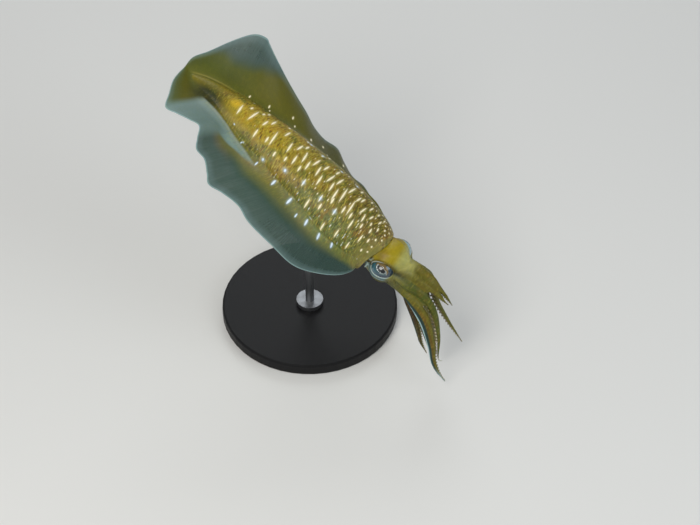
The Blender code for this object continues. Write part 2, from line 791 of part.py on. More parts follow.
def main():
    for old in list(bpy.data.objects):
        bpy.data.objects.remove(old)
    group = collection("bigfin_reef_squid")
    helpers = collection("cutters")
    body = bpy.data.objects.new("swimming_pose", None)
    group.objects.link(body)

    make_mantle(group, body)
    cutter = make_mantle_cutter(helpers, body)
    for side in FIN_RAYS:
        for length in FIN_LENGTHS:
            make_fin(side, length, cutter, group, body)
    make_head(group, helpers, body)
    make_funnel(group, body)
    make_mouth(group, body)
    limbs = []
    for sign, side in ((1, "left"), (-1, "right")):
        make_eye(sign, side, group, body)
        limbs += make_arms(side, sign, group, body)
        limbs += make_tentacle(side, sign, group, body)
    place_body(body, limbs)
    make_stand(cutter, body, group, helpers)


main()
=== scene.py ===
"""Looks of the life-size bigfin reef squid on its display stand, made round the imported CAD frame.

The animal is shaped along its own axes, in millimetres: x runs from the tail tip to the arms, y to its left
and z to its back. BODY_PITCH and BODY_PLACE then set it in the frame, head down over the stand.
"""

import json
import math

import bmesh
import bpy
import numpy as np
from mathutils import Matrix, Vector, kdtree

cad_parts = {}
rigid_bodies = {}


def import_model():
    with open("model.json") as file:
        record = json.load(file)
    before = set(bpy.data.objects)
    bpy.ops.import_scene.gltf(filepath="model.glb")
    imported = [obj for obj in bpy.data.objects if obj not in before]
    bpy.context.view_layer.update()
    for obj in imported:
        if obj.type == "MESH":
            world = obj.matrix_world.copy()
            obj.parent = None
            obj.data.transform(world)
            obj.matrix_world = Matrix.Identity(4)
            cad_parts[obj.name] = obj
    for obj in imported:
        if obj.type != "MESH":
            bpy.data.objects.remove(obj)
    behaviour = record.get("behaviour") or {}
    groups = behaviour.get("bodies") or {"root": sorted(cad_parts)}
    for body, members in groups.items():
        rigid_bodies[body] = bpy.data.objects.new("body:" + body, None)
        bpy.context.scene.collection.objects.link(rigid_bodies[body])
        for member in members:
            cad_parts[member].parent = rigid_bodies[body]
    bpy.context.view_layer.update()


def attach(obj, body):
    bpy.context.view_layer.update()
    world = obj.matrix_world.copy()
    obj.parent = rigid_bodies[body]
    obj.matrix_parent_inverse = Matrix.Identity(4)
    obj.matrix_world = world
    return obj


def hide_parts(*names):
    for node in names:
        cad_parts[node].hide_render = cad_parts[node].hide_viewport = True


MM = 0.001
SEED = 7
BODY_PITCH = math.radians(29.1)
BODY_PLACE = (-111.843, 0.0, 202.432)

# Mantle, as (share of its length, half width)
MANTLE_LENGTH = 200.0
MANTLE_GIRTH = (
    (0.0, 1.8), (0.03, 5.0), (0.08, 8.8), (0.18, 13.6), (0.3, 19.2), (0.42, 23.6),
    (0.55, 27.0), (0.68, 29.3), (0.78, 29.6), (0.88, 27.6), (0.95, 25.0), (1.0, 22.6),
)
MANTLE_FLATNESS = 0.93
LOBE_FROM = 0.8
MANTLE_LOBE = 4.0
MANTLE_NOTCH = 4.0
LIP_THICKNESS = 2.0
CAVITY_END = 186.0
CAVITY_FLOOR = (17.6, 16.4)
MANTLE_GRID = (380, 360)
MANTLE_CROWDING = 0.97
TAIL_TIP = ((0.9, 0.35), (0.65, 0.7), (0.3, 0.92))
LEFT_FULLNESS = ((0, 0), (8, 0.8), (20, 1.7), (45, 3.0), (70, 2.6), (100, 1.6), (130, 0.6), (160, 0))
LIP_DRAWN_IN = 0.075
LIP_DRAWN_FROM = 190.0
LIP_STEPS = 8
LIP_BULGE = 0.9
CAVITY_STEPS = 12

# Head, as (x, half width, half height, height of its middle)
HEAD_SECTIONS = (
    (186.3, 15.0, 9.5, 2.0), (192.0, 16.4, 11.4, 3.0), (198.0, 18.2, 13.4, 4.2),
    (203.0, 20.0, 13.2, 4.2), (207.5, 20.8, 14.8, 5.6), (212.0, 19.4, 15.5, 6.8),
    (217.0, 18.4, 15.4, 7.2), (222.0, 17.5, 15.2, 7.0), (227.5, 16.4, 14.8, 6.6), (233.0, 15.4, 14.6, 6.2),
)
HEAD_FRONT = HEAD_SECTIONS[-1][0]
HEAD_GRID = (110, 140)
HEAD_SINK = 1.5
HEAD_DOME = ((0.5, 0.96), (0.9, 0.85), (1.1, 0.6), (1.2, 0.3))
CROWN_Z = 6.2
CROWN_RADIUS = 11.2

# How the head is evened out, as (strength, more of it at the crown, rounds), and where along x the crown
# starts and ends
HEAD_RELAX = ((0.2, 0.45, 4), (0.0, 0.6, 22))
CROWN_RISE = (222, 232)
CROWN_FALL = (262, 246)

# Eyes
EYE_RADIUS = 9.5
EYE_CENTRE = (215.0, 12.0, 6.0)
EYE_GRID = (120, 160)
EYE_RELIEF = {"pupil": -0.45, "ring": 0.1, "lobe": 0.15}
GAZE_UP = math.radians(42.0)
GAZE_FORWARD = math.radians(-4.0)
EYE_TILT = math.radians(22.0)
EYE_OPENING = (1.28, 0.53, 0.62)
PUPIL = (4.4, 2.9)

# Lids: how far they reach and start to fade, in radians from the gaze, and the rest in mm off the eyeball
LID_REACH = 2.1
LID_FADE = 1.65
LID_DEPTH = 24
LID_HEIGHT = 1.0
BROW_HEIGHT = 0.9
LID_SINK = 0.6

# How wide the lids' edge is rounded, in shares of the opening, and the reddish place behind the eye
LID_ROUNDING = 0.5
TINGE_PLACE = (207.5, 10.5, 16.5)

# Funnel under the neck, as (x, radius, height of its middle)
FUNNEL_SECTIONS = ((186.3, 3.8, -11.8), (196.0, 4.7, -13.4), (206.0, 4.7, -14.4), (217.0, 3.5, -14.8))
FUNNEL_GRID = (40, 48)
FUNNEL_FLATNESS = 0.9
FUNNEL_RIM = ((0.4, 0.9), (0.3, 0.74))
FUNNEL_BORE = 0.68

# Each pair of arms: angle round the crown from the back in degrees, root radius, height of the outer ridge
ARM_PAIRS = {1: (22.5, 4.0, 0.0), 2: (67.5, 3.9, 0.4), 3: (112.5, 4.3, 3.6), 4: (157.5, 3.9, 1.5)}
TENTACLE_ANGLE = 135.0
TENTACLE_RING = 6.0
STALK_RADIUS = 1.3
CLUB_START = 0.62
CLUB_PROFILE = ((0.0, 1.3), (0.35, 2.2), (0.7, 1.54), (1.0, 0.4))
RIDGE_PROFILE = ((0.05, 0.0), (0.3, 1.0), (0.6, 0.9), (0.85, 0.6), (1.0, 0.1))
STRAIGHT_START = 6.0
LIMB_STEPS = 80
LIMB_GRID = (150, 40)
LIMB_CROWDING = 0.92
ARM_FLATTENING = 0.14
KEEL_SHARPNESS = 16
CROWN_ORDER = ("right_1", "left_1", "left_2", "left_3", "left_4", "right_4", "right_3", "right_2")
WEB_REACH = {"arm": 22.0, "arm_right_2": 33.0, "arm_right_1": 26.0}
WEB_THICKNESS = (2.0, 1.2)
WEB_GRID = (26, 22)
WEB_SINK = 2.0
WEB_TO_ORAL = 0.35
BLADE_REACH = 0.86
WEB_HOLLOW = 0.35
HEAD_VOXEL = 0.42
FOLD_HEIGHT = 1.2
FOLD_PLACE = 203.0
SUCKER_GROWTH = ((0.1, 0.3), (0.25, 0.6), (0.45, 1.0))
SUCKERS_ON_ARM = {1: 34, 2: 48, 3: 56, 4: 48}
SUCKERS_ON_CLUB = 72
SUCKER_SIDES = 14
SUCKER_SPAN = (0.1, 0.985)
SUCKER_ROWS = (-30, 30)
CLUB_ROWS = (-54, 18, -18, 54)
SUCKER_CROWDING = 1.25
SUCKER_OUT = 0.88
SUCKER_SIZE = (1.15, 0.75, 0.22)
CLUB_SUCKER_SIZE = 0.32
BRIGHT_RIMS_FROM = 0.55
DIM_RIM = 0.3

# Turned shapes, as (rise, radius), and how pale each ring of a sucker is
SUCKER_PROFILE = (
    (-0.9, 0.55), (0.15, 0.5), (0.4, 0.8), (0.75, 1.0), (1.05, 1.0), (1.15, 0.86), (1.05, 0.72), (0.6, 0.5),
    (0.45, 0.15),
)
RIM_SHADES = (0, 0, 0, 0.2, 0.7, 1, 1, 0.6, 0.9)
LIPS_PROFILE = (
    (0.0, 3.8), (1.2, 4.3), (2.6, 3.9), (3.3, 3.0), (3.5, 2.5), (3.0, 2.1), (1.8, 1.9), (1.4, 1.0),
)
BEAK_PROFILE = ((0.0, 1.5), (1.6, 1.45), (2.4, 1.25), (3.1, 0.9), (3.7, 0.5), (4.0, 0.16))
BEAK_SIDES = 40
LIPS_SIDES = 64
LIP_FOLDS = 12
LIP_FOLD_DEPTH = 0.05

# Where each arm and tentacle goes from its root on the crown
LIMB_PATHS = {
    "arm_left_1": ((248, 4.8, 18), (256.5, 5.6, 14.8), (264.5, 7.2, 11), (270.2, 8.9, 7.3), (274.8, 10, 4.2)),
    "arm_right_1": ((248, -3.4, 17), (256, -1, 15.4), (263.5, 1.4, 12.2), (272.2, 4.4, 8.6)),
    "arm_left_2": (
        (243, 12, 9.4), (251, 12.8, 4.2), (259.3, 11.6, -4.6), (279.7, 11.5, -15.8), (301.5, 12, -24.5),
    ),
    "arm_right_2": (
        (247, -7.8, 10.6), (256, -6, 8.6), (264, -5.6, 4.4), (271.7, -6, -1.9), (279.6, -6.5, -10.7),
        (286.5, -7, -19.8), (292.4, -7.8, -29.4), (295.6, -8, -34.4), (298.2, -7.6, -36.8),
        (300.2, -6.6, -35.6),
    ),
    "arm_left_3": ((247, 9.6, -2.6), (261, 8.4, -15.5), (274.6, 7, -28), (287.3, 6, -44), (293.5, 6, -51.5)),
    "arm_right_3": (
        (246, -11, 2.4), (263.4, -10.8, -2.4), (284.2, -11.8, -20.8), (298.6, -12.7, -38),
        (306.2, -12.5, -43.3), (313.5, -12, -46.5),
    ),
    "arm_left_4": (
        (245, 3.8, -8.4), (259.5, 2.6, -24.4), (273.1, 2.6, -37), (285.8, 2, -48), (292, 1.5, -54),
    ),
    "arm_right_4": (
        (246, -4.9, -9.5), (259.7, -6, -19), (269.6, -6.5, -28.4), (278, -6.3, -38), (287.5, -4.5, -46.5),
    ),
    "tentacle_left": ((245, 3.8, -0.6), (258, 3, -10.2), (270, 2.8, -20.2), (287, 3, -36)),
    "tentacle_right": ((245, -4.2, -1.5), (258, -3.4, -12.5), (270.6, -3, -24.5), (284, -2.5, -38)),
}
LIMB_TWIST = {"arm_right_2": -110.0}

# Fins, as rays: x where the ray leaves the mantle, x, y and z of its tip, rise of its middle
FIN_RAYS = {
    "left": (
        (-1, -7.5, -0.4, 3, 0), (6, -8.4, 12, 4.5, 0), (12, -2.9, 24, 8.5, -1), (18, 3.9, 38, 17.5, -1.5),
        (24, 10.9, 48, 26.5, -2), (30, 16.2, 52.5, 30.5, -2.5), (36, 22.8, 55, 31.5, -2.5),
        (44, 27.6, 55, 29, -2), (54, 34.4, 54.5, 25, -1.5), (66, 44.7, 55, 18, -0.5),
        (78, 55.6, 56, 10.3, 0.5), (92, 71.5, 58, -0.7, 1), (104, 83.8, 59, -7.7, 1),
        (118, 97, 60, -16.6, 1), (130, 109.1, 60, -18.9, 1), (142, 122.5, 60, -16, 1.5),
        (152, 133, 57.5, -19.6, 1.5), (164, 147.5, 53, -20.2, 1), (172, 157.5, 48.5, -13, 0.5),
        (183, 172.5, 36.5, -3.6, 0.5), (197, 198, 25.2, -1, 0),
    ),
    "right": (
        (-1, -7.5, 0.4, 3, 0), (5, -6.6, -11.5, 7, 0), (10, -4.8, -22.5, 10.3, -1),
        (16, 0.8, -36, 12.8, -1), (24, 7, -49, 14.2, 1), (32, 16.5, -49.8, 19.2, 2),
        (42, 27.5, -49, 23.8, 1.5), (49, 36.2, -49, 27, 1), (57, 41.6, -53.3, 20, 1.5),
        (65, 47, -57.2, 13.3, 2), (73, 56.6, -58.5, 12.6, 2), (82, 65.5, -62.5, 7, 1.5),
        (91, 72, -65.6, 2.3, 1.5), (101, 84, -65.4, 6, 1.5), (116, 101.2, -64, 6.2, 1.5),
        (127, 113.5, -66, 3, 1.5), (143, 140.4, -64, -1.4, 1.5), (158, 161.8, -59.5, -7.3, 1),
        (173, 179.4, -50, -6.9, 0.5), (188, 195.3, -36, -2.9, 0), (197, 200.9, -25.2, 0.5, 0),
    ),
}
FIN_SPAN = (-1.0, 197.0)
FIN_ROOT_ANGLE = math.radians(6.0)
FIN_SINK = 2.0
FIN_MIDLINE = -0.3
FIN_GRID = (380, 84)
FIN_EDGE_THICKNESS = 0.8
FIN_EDGE_ROUNDING = 0.012
FIN_CROWDING = 0.9
FIN_ROOT_SWELL = (2.2, 9.0)
FIN_ROOT_FLARE = (5.0, 3.6)
FIN_FILLET = (5.0, 6.5)
FIN_RELAX_ROUNDS = 70

# Where the left fin's skin turns clear, as (x, share of the way out)
LEFT_CLEAR_FROM = (
    (0, 1.1), (10, 1.0), (16, 0.85), (24, 0.57), (32, 0.55), (42, 0.6), (49, 0.68), (57, 0.75), (65, 0.85),
    (73, 0.95), (82, 1.1),
)

# Colours as they look on a screen, 0 to 255, and those of the eyes in linear light
TONES = {
    # the dark olive named hollow is painted shade, for the hollows by the tail
    "tail": (122, 114, 26), "hollow": (42, 48, 6), "gold": (222, 184, 30), "back": (140, 124, 32),
    "front": (96, 88, 24), "flank": (92, 96, 28), "sheen": (108, 126, 80), "belly": (190, 186, 154),
    "margin": (140, 130, 74), "inside": (150, 140, 112), "crest": (150, 138, 62), "olive": (74, 82, 12),
    "olive_gold": (92, 90, 10), "teal": (56, 84, 72), "clear": (52, 78, 70), "pale": (116, 142, 136),
    # the pale of the right fin's crest is pale skin with a painted sheen
    "grey_olive": (92, 104, 56), "tan": (116, 98, 50), "fold_pale": (150, 162, 158), "rim": (146, 176, 178),
    "teal_front": (36, 64, 55), "olive_far": (76, 76, 20), "fin_base": (82, 88, 50),
    "soft_olive": (104, 106, 54), "nape": (124, 108, 28), "head_gold": (152, 136, 6),
    "crown": (164, 164, 98), "cheek": (44, 54, 26), "throat": (180, 176, 146), "brow": (62, 52, 10),
    "tinge": (96, 66, 44), "lid": (72, 104, 114), "lid_edge": (196, 214, 214), "fold": (180, 204, 202),
    # the pale blue of the far eye's upper lid is a painted reflection
    "sucker_side": (124, 118, 66), "far_lid": (150, 182, 190), "corner": (18, 38, 50), "arm": (94, 90, 18),
    # the dark brown of the fourth arm pair is painted shade
    "arm_dark": (52, 38, 18), "arm_green": (70, 80, 16), "arm_pale": (88, 90, 38), "ridge": (92, 68, 12),
    "keel": (30, 56, 52), "keel_rim": (172, 204, 208), "hook": (220, 228, 216),
}
EYE_TONES = {
    "ball": (0.035, 0.13, 0.17), "deep": (0.008, 0.028, 0.055), "iris": (0.05, 0.1, 0.11),
    "silver": (0.78, 0.82, 0.78), "lobe": (0.16, 0.1, 0.02), "pupil": (0.002, 0.003, 0.004),
    "eye_pale": (0.3, 0.46, 0.5),
}
# Ground tones of each side's arm pairs 1 to 4 and its tentacle; the fourth pair's dark brown is painted shade
LIMB_TONES = {
    "left": ("arm", "arm_pale", "arm", "arm_dark", "arm_pale"),
    "right": ("arm", "arm_green", "arm", "arm_dark", "arm_pale"),
}

# Chromatophores, as (spacing in mm, size, strength, colour on a screen)
CHROMATOPHORES = (
    (0.8, 0.30, 0.35, (80, 54, 16)), (1.25, 0.34, 0.28, (126, 76, 20)), (1.9, 0.26, 0.45, (58, 42, 16)),
)

# Pale marks: dashes across the mantle and spots on it, as (x, angle in degrees round it, length), where 90
# is the back and 180 the right side, and dots on the fins, as (x, reach out from the mantle, length)
DASHES = (
    (48, 97, 9), (54, 72, 3), (59, 87, 11), (64, 66, 3), (67, 53, 4), (70, 118, 7), (70, 85, 6),
    (74.5, 70, 6), (83, 101, 12), (86, 50, 3), (88.5, 72, 7), (92, 123, 4), (97, 94, 9), (103, 80, 7),
    (104, 49, 3), (106.5, 106, 8), (107, 68, 5), (111, 90, 9), (117, 98, 8), (120, 59, 3), (120.5, 82, 9),
    (124, 124, 6), (125, 44, 4), (126, 93, 9), (129, 77, 7), (131.5, 104, 9), (137, 88, 9), (137, 145, 8),
    (138, 68, 6), (139, 177, 4), (142, 98, 8), (142, 124, 6), (144, 80, 9), (148, 104, 10), (153, 94, 13),
    (155.5, 75, 10), (157, 124, 6), (158, 156, 8), (162, 58, 5), (164, 79, 7), (164, 101, 13), (167, 73, 7),
    (169.5, 148, 8), (172, 88, 9), (172.5, 121, 9), (173, 55, 5), (176, 71, 7), (176, 98, 8), (179, 110, 5),
    (180, 85, 6), (182, 152, 8), (183, 95, 4), (183, 66, 5), (185, 127, 8), (185.5, 52, 3), (186, 105, 5),
    (187, 77, 6), (189, 63, 4), (189, 92, 4), (190, 120, 4), (191.5, 70, 2.5), (192, 142, 3), (193, 38, 3),
    (193, 80, 3), (193, 109, 2.5), (195, 87, 2), (195, 124, 2), (196, 137, 2), (196, 100, 2),
    (196.5, 73, 2), (196, 59, 2), (80, 112, 5), (101, 116, 4), (114, 112, 5), (150, 114, 5), (161, 112, 6),
    (168, 111, 6), (146, 134, 5),
)
SPOTS = (
    (53, 138, 2.2), (68, 152, 2.2), (88.5, 146, 5), (88, 164, 2.6), (107, 131, 5.5), (108, 158, 4.8),
    (126.5, 159, 5.6), (146.5, 161, 4.2), (142, 124, 4.2), (157, 124, 4.6), (124, 124, 4.2),
)
FIN_DOTS = (
    (48, 6.2, 3.4), (66.5, 8.4, 3.6), (67.5, 4.8, 2.6), (89.5, 15, 3.8), (92, 8.6, 3.2), (110, 12, 4.5),
    (125, 22, 4.5), (128, 13, 3.5), (145, 18, 4.5), (151, 9, 3.2), (161, 24, 4.5), (168, 12, 3.5),
    (180, 8, 3),
)
RIGHT_FIN_DOTS = (
    (68, 0.8, 2.6), (88, 1.2, 3.2), (108, 1, 5), (126.5, 1.2, 5.6), (146.5, 2, 4.8), (160, 2.4, 5),
    (138, 4, 3), (172, 1, 4.5),
)
DASH_SLANT = 0.15

# Faint marks between the listed ones: where their rows run along the mantle and round it, and their sizes
FAINT_ALONG = (66.0, 197)
FAINT_ROUND = (8, 172)
FAINT_FIRST = 20
FAINT_LENGTH = (3.5, 8.0)
FAINT_GAP = (4, 9)
FAINT_HALF_WIDTH = 0.36
FAINT_STRENGTH = (0.25, 0.7)
FAINT_CHANCE = 0.75

# Soft patches of colour on the mantle, as (x, angle, reach along, reach round)
GOLD_SPOT = (43.0, 92.0, 5.5, 20.0)
# painted shade in the hollow by the tail
HOLLOW_SHADE = (23.0, 136.0, 14.0, 46.0)
SHEEN = (160.0, 146.0, 26.0, 26.0)

# Camera, placed so that the photo's frame of 700 by 525 falls on it
CAMERA_PLACE = (838.829, -1190.879, 1512.487)
CAMERA_AZIMUTH = math.radians(33.86)
CAMERA_ELEVATION = math.radians(45.0)
CAMERA_LENS = 130.695
CAMERA_SENSOR = 36.0

# Lights, as (name, place, size, power, colour), all aimed at the animal's middle
LIGHTS_AIM = (0.02, 0.0, 0.12)
LIGHTS = (
    ("key", (0.1, -0.95, 1.15), 0.9, 12.0, (1.0, 0.97, 0.92)),
    ("fill", (1.1, 0.1, 0.8), 0.9, 4.0, (0.9, 0.96, 1.0)),
    ("back", (-0.6, 0.9, 0.9), 0.8, 4.0, (0.95, 0.98, 1.0)),
)
FLOOR_SIZE = 6.0


def smooth(stations, x):
    """The values at x of a smooth curve through rows of a place and its values, level past its ends."""
    stations = np.array(stations, float)
    places, values = stations[:, 0], stations[:, 1:]
    x = np.clip(np.asarray(x, float), places[0], places[-1])
    spans = np.diff(places)
    chords = np.diff(values, axis=0) / spans[:, None]
    slopes = np.concatenate([chords[:1], chords[:1].repeat(len(places) - 2, 0), chords[-1:]])
    slopes[1:-1] = (chords[:-1] * spans[1:, None] + chords[1:] * spans[:-1, None]) / (
        spans[1:] + spans[:-1]
    )[:, None]
    i = np.clip(np.searchsorted(places, x, side="right") - 1, 0, len(places) - 2)
    span = spans[i][..., None]
    t = ((x - places[i]) / spans[i])[..., None]
    found = (
        values[i] * (2 * t**3 - 3 * t**2 + 1)
        + slopes[i] * span * (t**3 - 2 * t**2 + t)
        + values[i + 1] * (3 * t**2 - 2 * t**3)
        + slopes[i + 1] * span * (t**3 - t**2)
    )
    return found if values.shape[1] > 1 else found[..., 0]


def step(low, high, x):
    """0 below low, 1 above high, with a smooth rise between."""
    t = np.clip((np.asarray(x, float) - low) / (high - low), 0, 1)
    return t * t * (3 - 2 * t)


def mix(a, b, share):
    """Blends two colours, or two sets of them, by a share for each point."""
    share = np.asarray(share, float)[..., None]
    return np.asarray(a, float) * (1 - share) + np.asarray(b, float) * share


def linear(red, green, blue):
    """A colour given as on a screen, 0 to 255, in linear light."""
    value = np.array((red, green, blue)) / 255
    return np.where(value <= 0.04045, value / 12.92, ((value + 0.055) / 1.055) ** 2.4)


def unit(vectors):
    return vectors / np.maximum(np.linalg.norm(vectors, axis=-1, keepdims=True), 1e-9)


def hump(distance):
    return np.exp(-(distance**2))


def around(count):
    """Angles at even steps once round."""
    return np.arange(count) * 2 * math.pi / count


def oval(angle, x, wide, high, middle=0.0):
    """Points at x on an oval of these half widths, with its middle at this height."""
    across = wide * np.cos(angle)
    return np.stack([x + 0 * across, across, middle + high * np.sin(angle)], -1)


# Meshes from arrays


def new_mesh(name, points, groups):
    """A mesh from points and arrays of faces, each array with faces of its own number of corners."""
    mesh = bpy.data.meshes.new(name)
    mesh.from_pydata(points, [], [face for group in groups for face in group.tolist()])
    mesh.update()
    return mesh


def new_object(name, data):
    made = bpy.data.objects.new(name, data)
    bpy.context.scene.collection.objects.link(made)
    return made


def points_of(mesh):
    found = np.empty(len(mesh.vertices) * 3, np.float32)
    mesh.vertices.foreach_get("co", found)
    return found.reshape(-1, 3).astype(float)


def move_points(mesh, points):
    mesh.vertices.foreach_set("co", points.astype(np.float32).ravel())
    mesh.update()


def grid_faces(rows, columns, wrap):
    """Quads of a grid of points laid out row by row; with wrap, each row closes on itself."""
    i = np.arange(rows - 1)[:, None]
    j = np.arange(columns if wrap else columns - 1)[None, :]
    a = i * columns + j
    b = i * columns + (j + 1) % columns
    return np.stack([a, b, b + columns, a + columns], -1).reshape(-1, 4)


def tube(rings):
    """Points and faces of a closed tube through rings of points, with its ends filled."""
    rings = np.asarray(rings, float)
    rows, columns = rings.shape[:2]
    points = np.concatenate([rings.reshape(-1, 3), rings[:1].mean(1), rings[-1:].mean(1)])
    j = np.arange(columns)
    first, last = rows * columns, rows * columns + 1
    near = np.stack([np.full(columns, first), (j + 1) % columns, j], -1)
    end = (rows - 1) * columns
    far = np.stack([np.full(columns, last), end + j, end + (j + 1) % columns], -1)
    return points, [grid_faces(rows, columns, True), np.concatenate([near, far])]


def gathered(pieces):
    """Points and faces of several tubes, as those of one."""
    starts = np.cumsum([0] + [len(points) for points, _ in pieces])
    faces = [
        np.concatenate([groups[k] + start for (_, groups), start in zip(pieces, starts)]) for k in (0, 1)
    ]
    return np.concatenate([points for points, _ in pieces]), faces


def outward(mesh):
    """Turns a closed mesh's faces out."""
    bm = bmesh.new()
    bm.from_mesh(mesh)
    bmesh.ops.recalc_face_normals(bm, faces=bm.faces)
    if bm.calc_volume(signed=True) < 0:
        bmesh.ops.reverse_faces(bm, faces=bm.faces)
    bm.to_mesh(mesh)
    bm.free()
    return mesh


def closed_object(name, points, faces):
    return new_object(name, outward(new_mesh(name, points, faces)))


def apply_modifiers(made):
    """Makes an object's modifiers real."""
    graph = bpy.context.evaluated_depsgraph_get()
    mesh = bpy.data.meshes.new_from_object(made.evaluated_get(graph))
    old = made.data
    made.modifiers.clear()
    made.data = mesh
    bpy.data.meshes.remove(old)


def fuse(made, other):
    """Joins a closed object to another, which is used up."""
    modifier = made.modifiers.new("union", "BOOLEAN")
    modifier.operation = "UNION"
    modifier.solver = "MANIFOLD"
    modifier.object = other
    apply_modifiers(made)
    bpy.data.objects.remove(other)


def relax(mesh, weight, rounds):
    """Evens out a mesh by its neighbours, each point by its own weight from 0 to 1."""
    points = points_of(mesh)
    edges = np.empty(len(mesh.edges) * 2, np.int32)
    mesh.edges.foreach_get("vertices", edges)
    a, b = edges.reshape(-1, 2).T
    count = np.maximum(np.bincount(np.concatenate([a, b]), minlength=len(points)), 1)[:, None]
    for _ in range(rounds):
        total = np.stack([
            np.bincount(a, points[b, k], len(points)) + np.bincount(b, points[a, k], len(points))
            for k in range(3)
        ], -1)
        points += weight[:, None] * (total / count - points)
    move_points(mesh, points)
    return points


def with_ends(values):
    """The values of a closed tube's points, with those of the first and last point for its end caps."""
    return np.concatenate([values, values[:1], values[-1:]])


def store(mesh, name, values, kind="FLOAT", key="value"):
    """Keeps a value for each point of the mesh, for its material to read."""
    attribute = mesh.attributes.new(name, kind, "POINT")
    attribute.data.foreach_set(key, np.asarray(values, np.float32).ravel())


def store_paint(mesh, paint):
    store(mesh, "paint", np.concatenate([paint, np.ones((len(paint), 1))], 1), "FLOAT_COLOR", "color")


# Shapes of the animal


def half_width(x):
    return smooth(MANTLE_GIRTH, np.asarray(x) / MANTLE_LENGTH)


def mantle_point(x, angle):
    """Points on the mantle, with angle 0 at its left side and a quarter turn at its back."""
    up = np.sin(angle)
    lead = np.maximum(0.0, (x / MANTLE_LENGTH - LOBE_FROM) / (1 - LOBE_FROM)) ** 2
    reach = MANTLE_LOBE * np.maximum(up, 0) ** 3 - MANTLE_NOTCH * np.maximum(-up, 0) ** 2
    width = half_width(x)
    return np.stack([x + lead * reach, width * np.cos(angle), width * MANTLE_FLATNESS * up], -1)


def fin_point(side, x, v):
    """Points of the fin's middle surface on the rays that leave the mantle at x, from root 0 to edge 1."""
    found = smooth(FIN_RAYS[side], x)
    tips, arch = found[..., :3], found[..., 3]
    sign = 1 if side == "left" else -1
    out = np.maximum(half_width(x) - FIN_SINK, FIN_MIDLINE)
    root = oval(FIN_ROOT_ANGLE, x, sign * out, out * MANTLE_FLATNESS)
    point = root + (tips - root) * v[..., None]
    point[..., 2] += arch * np.sin(math.pi * v)
    return point


def fin_length(side, x):
    root = fin_point(side, x, np.zeros(len(x)))
    return np.linalg.norm(fin_point(side, x, np.ones(len(x))) - root, axis=1)


def gaze(sign):
    flat = math.cos(GAZE_UP)
    return np.array((
        flat * math.sin(GAZE_FORWARD), sign * flat * math.cos(GAZE_FORWARD), math.sin(GAZE_UP)
    ))


def eye_centre(sign):
    x, y, z = EYE_CENTRE
    return np.array((x, sign * y, z))


def crown_place(sign, angle, radius):
    """A root on the crown, and the direction from there to the crown's middle."""
    turn = math.radians(angle)
    out = Vector((0, sign * math.sin(turn), math.cos(turn)))
    return Vector((HEAD_FRONT + 0.3, 0, CROWN_Z)) + out * radius, -out


def limb_frames(name, root, inward):
    """Frames along a limb at even steps: places, directions and directions of the sucker side."""
    stops = [root, root + Vector((STRAIGHT_START, 0, 0))] + [Vector(point) for point in LIMB_PATHS[name]]
    twist = math.radians(LIMB_TWIST.get(name, 0.0))
    stations = [(0.0, *stops[0])]
    for before, after in zip(stops, stops[1:]):
        stations.append((stations[-1][0] + (after - before).length, *after))
    length = stations[-1][0]
    places = smooth(stations, length * np.arange(LIMB_STEPS + 1) / LIMB_STEPS)
    before = Vector((1, 0, 0))
    ways, sides = [], []
    for k in range(LIMB_STEPS + 1):
        ahead = before
        if k:
            ahead = Vector(places[min(k + 1, LIMB_STEPS)] - places[k - 1]).normalized()
        inward = before.rotation_difference(ahead) @ inward
        turn = Matrix.Rotation(twist * min(1.0, 2 * k / LIMB_STEPS), 3, ahead)
        ways.append(ahead)
        sides.append(turn @ inward)
        before = ahead
    return {"places": places, "ways": np.array(ways), "inward": np.array(sides), "length": length}


def at_share(frames, key, share):
    """One of the frames' directions or places at shares of the limb's length."""
    k = np.clip(np.asarray(share, float), 0, 1) * LIMB_STEPS
    low = np.minimum(k.astype(int), LIMB_STEPS - 1)
    t = (k - low)[..., None]
    return frames[key][low] * (1 - t) + frames[key][low + 1] * t


def arm_radius(share, root):
    return root * np.maximum(0.1, (1 - np.clip(share, 0, 1)) ** 0.8)


def tentacle_radius(share):
    """A thin stalk, then a club that swells and ends in a point."""
    club = (np.asarray(share, float) - CLUB_START) / (1 - CLUB_START)
    return np.where(club < 0, STALK_RADIUS, smooth(CLUB_PROFILE, club))


def all_limbs():
    """Every arm and tentacle, with its frames, radius and ridge."""
    limbs = {}
    for sign, side in ((1, "left"), (-1, "right")):
        for pair, (angle, thick, ridge) in ARM_PAIRS.items():
            name = f"arm_{side}_{pair}"
            limbs[name] = limb_frames(name, *crown_place(sign, angle, CROWN_RADIUS))
            limbs[name].update(name=name, thick=thick, ridge=ridge, pair=pair, sign=sign)
        name = f"tentacle_{side}"
        limbs[name] = limb_frames(name, *crown_place(sign, TENTACLE_ANGLE, TENTACLE_RING))
        limbs[name].update(thick=0, ridge=0, pair=5, sign=sign)
    return limbs


def limb_radius(limb, share):
    return arm_radius(share, limb["thick"]) if limb["thick"] else tentacle_radius(share)


# Mantle and fins, one skin


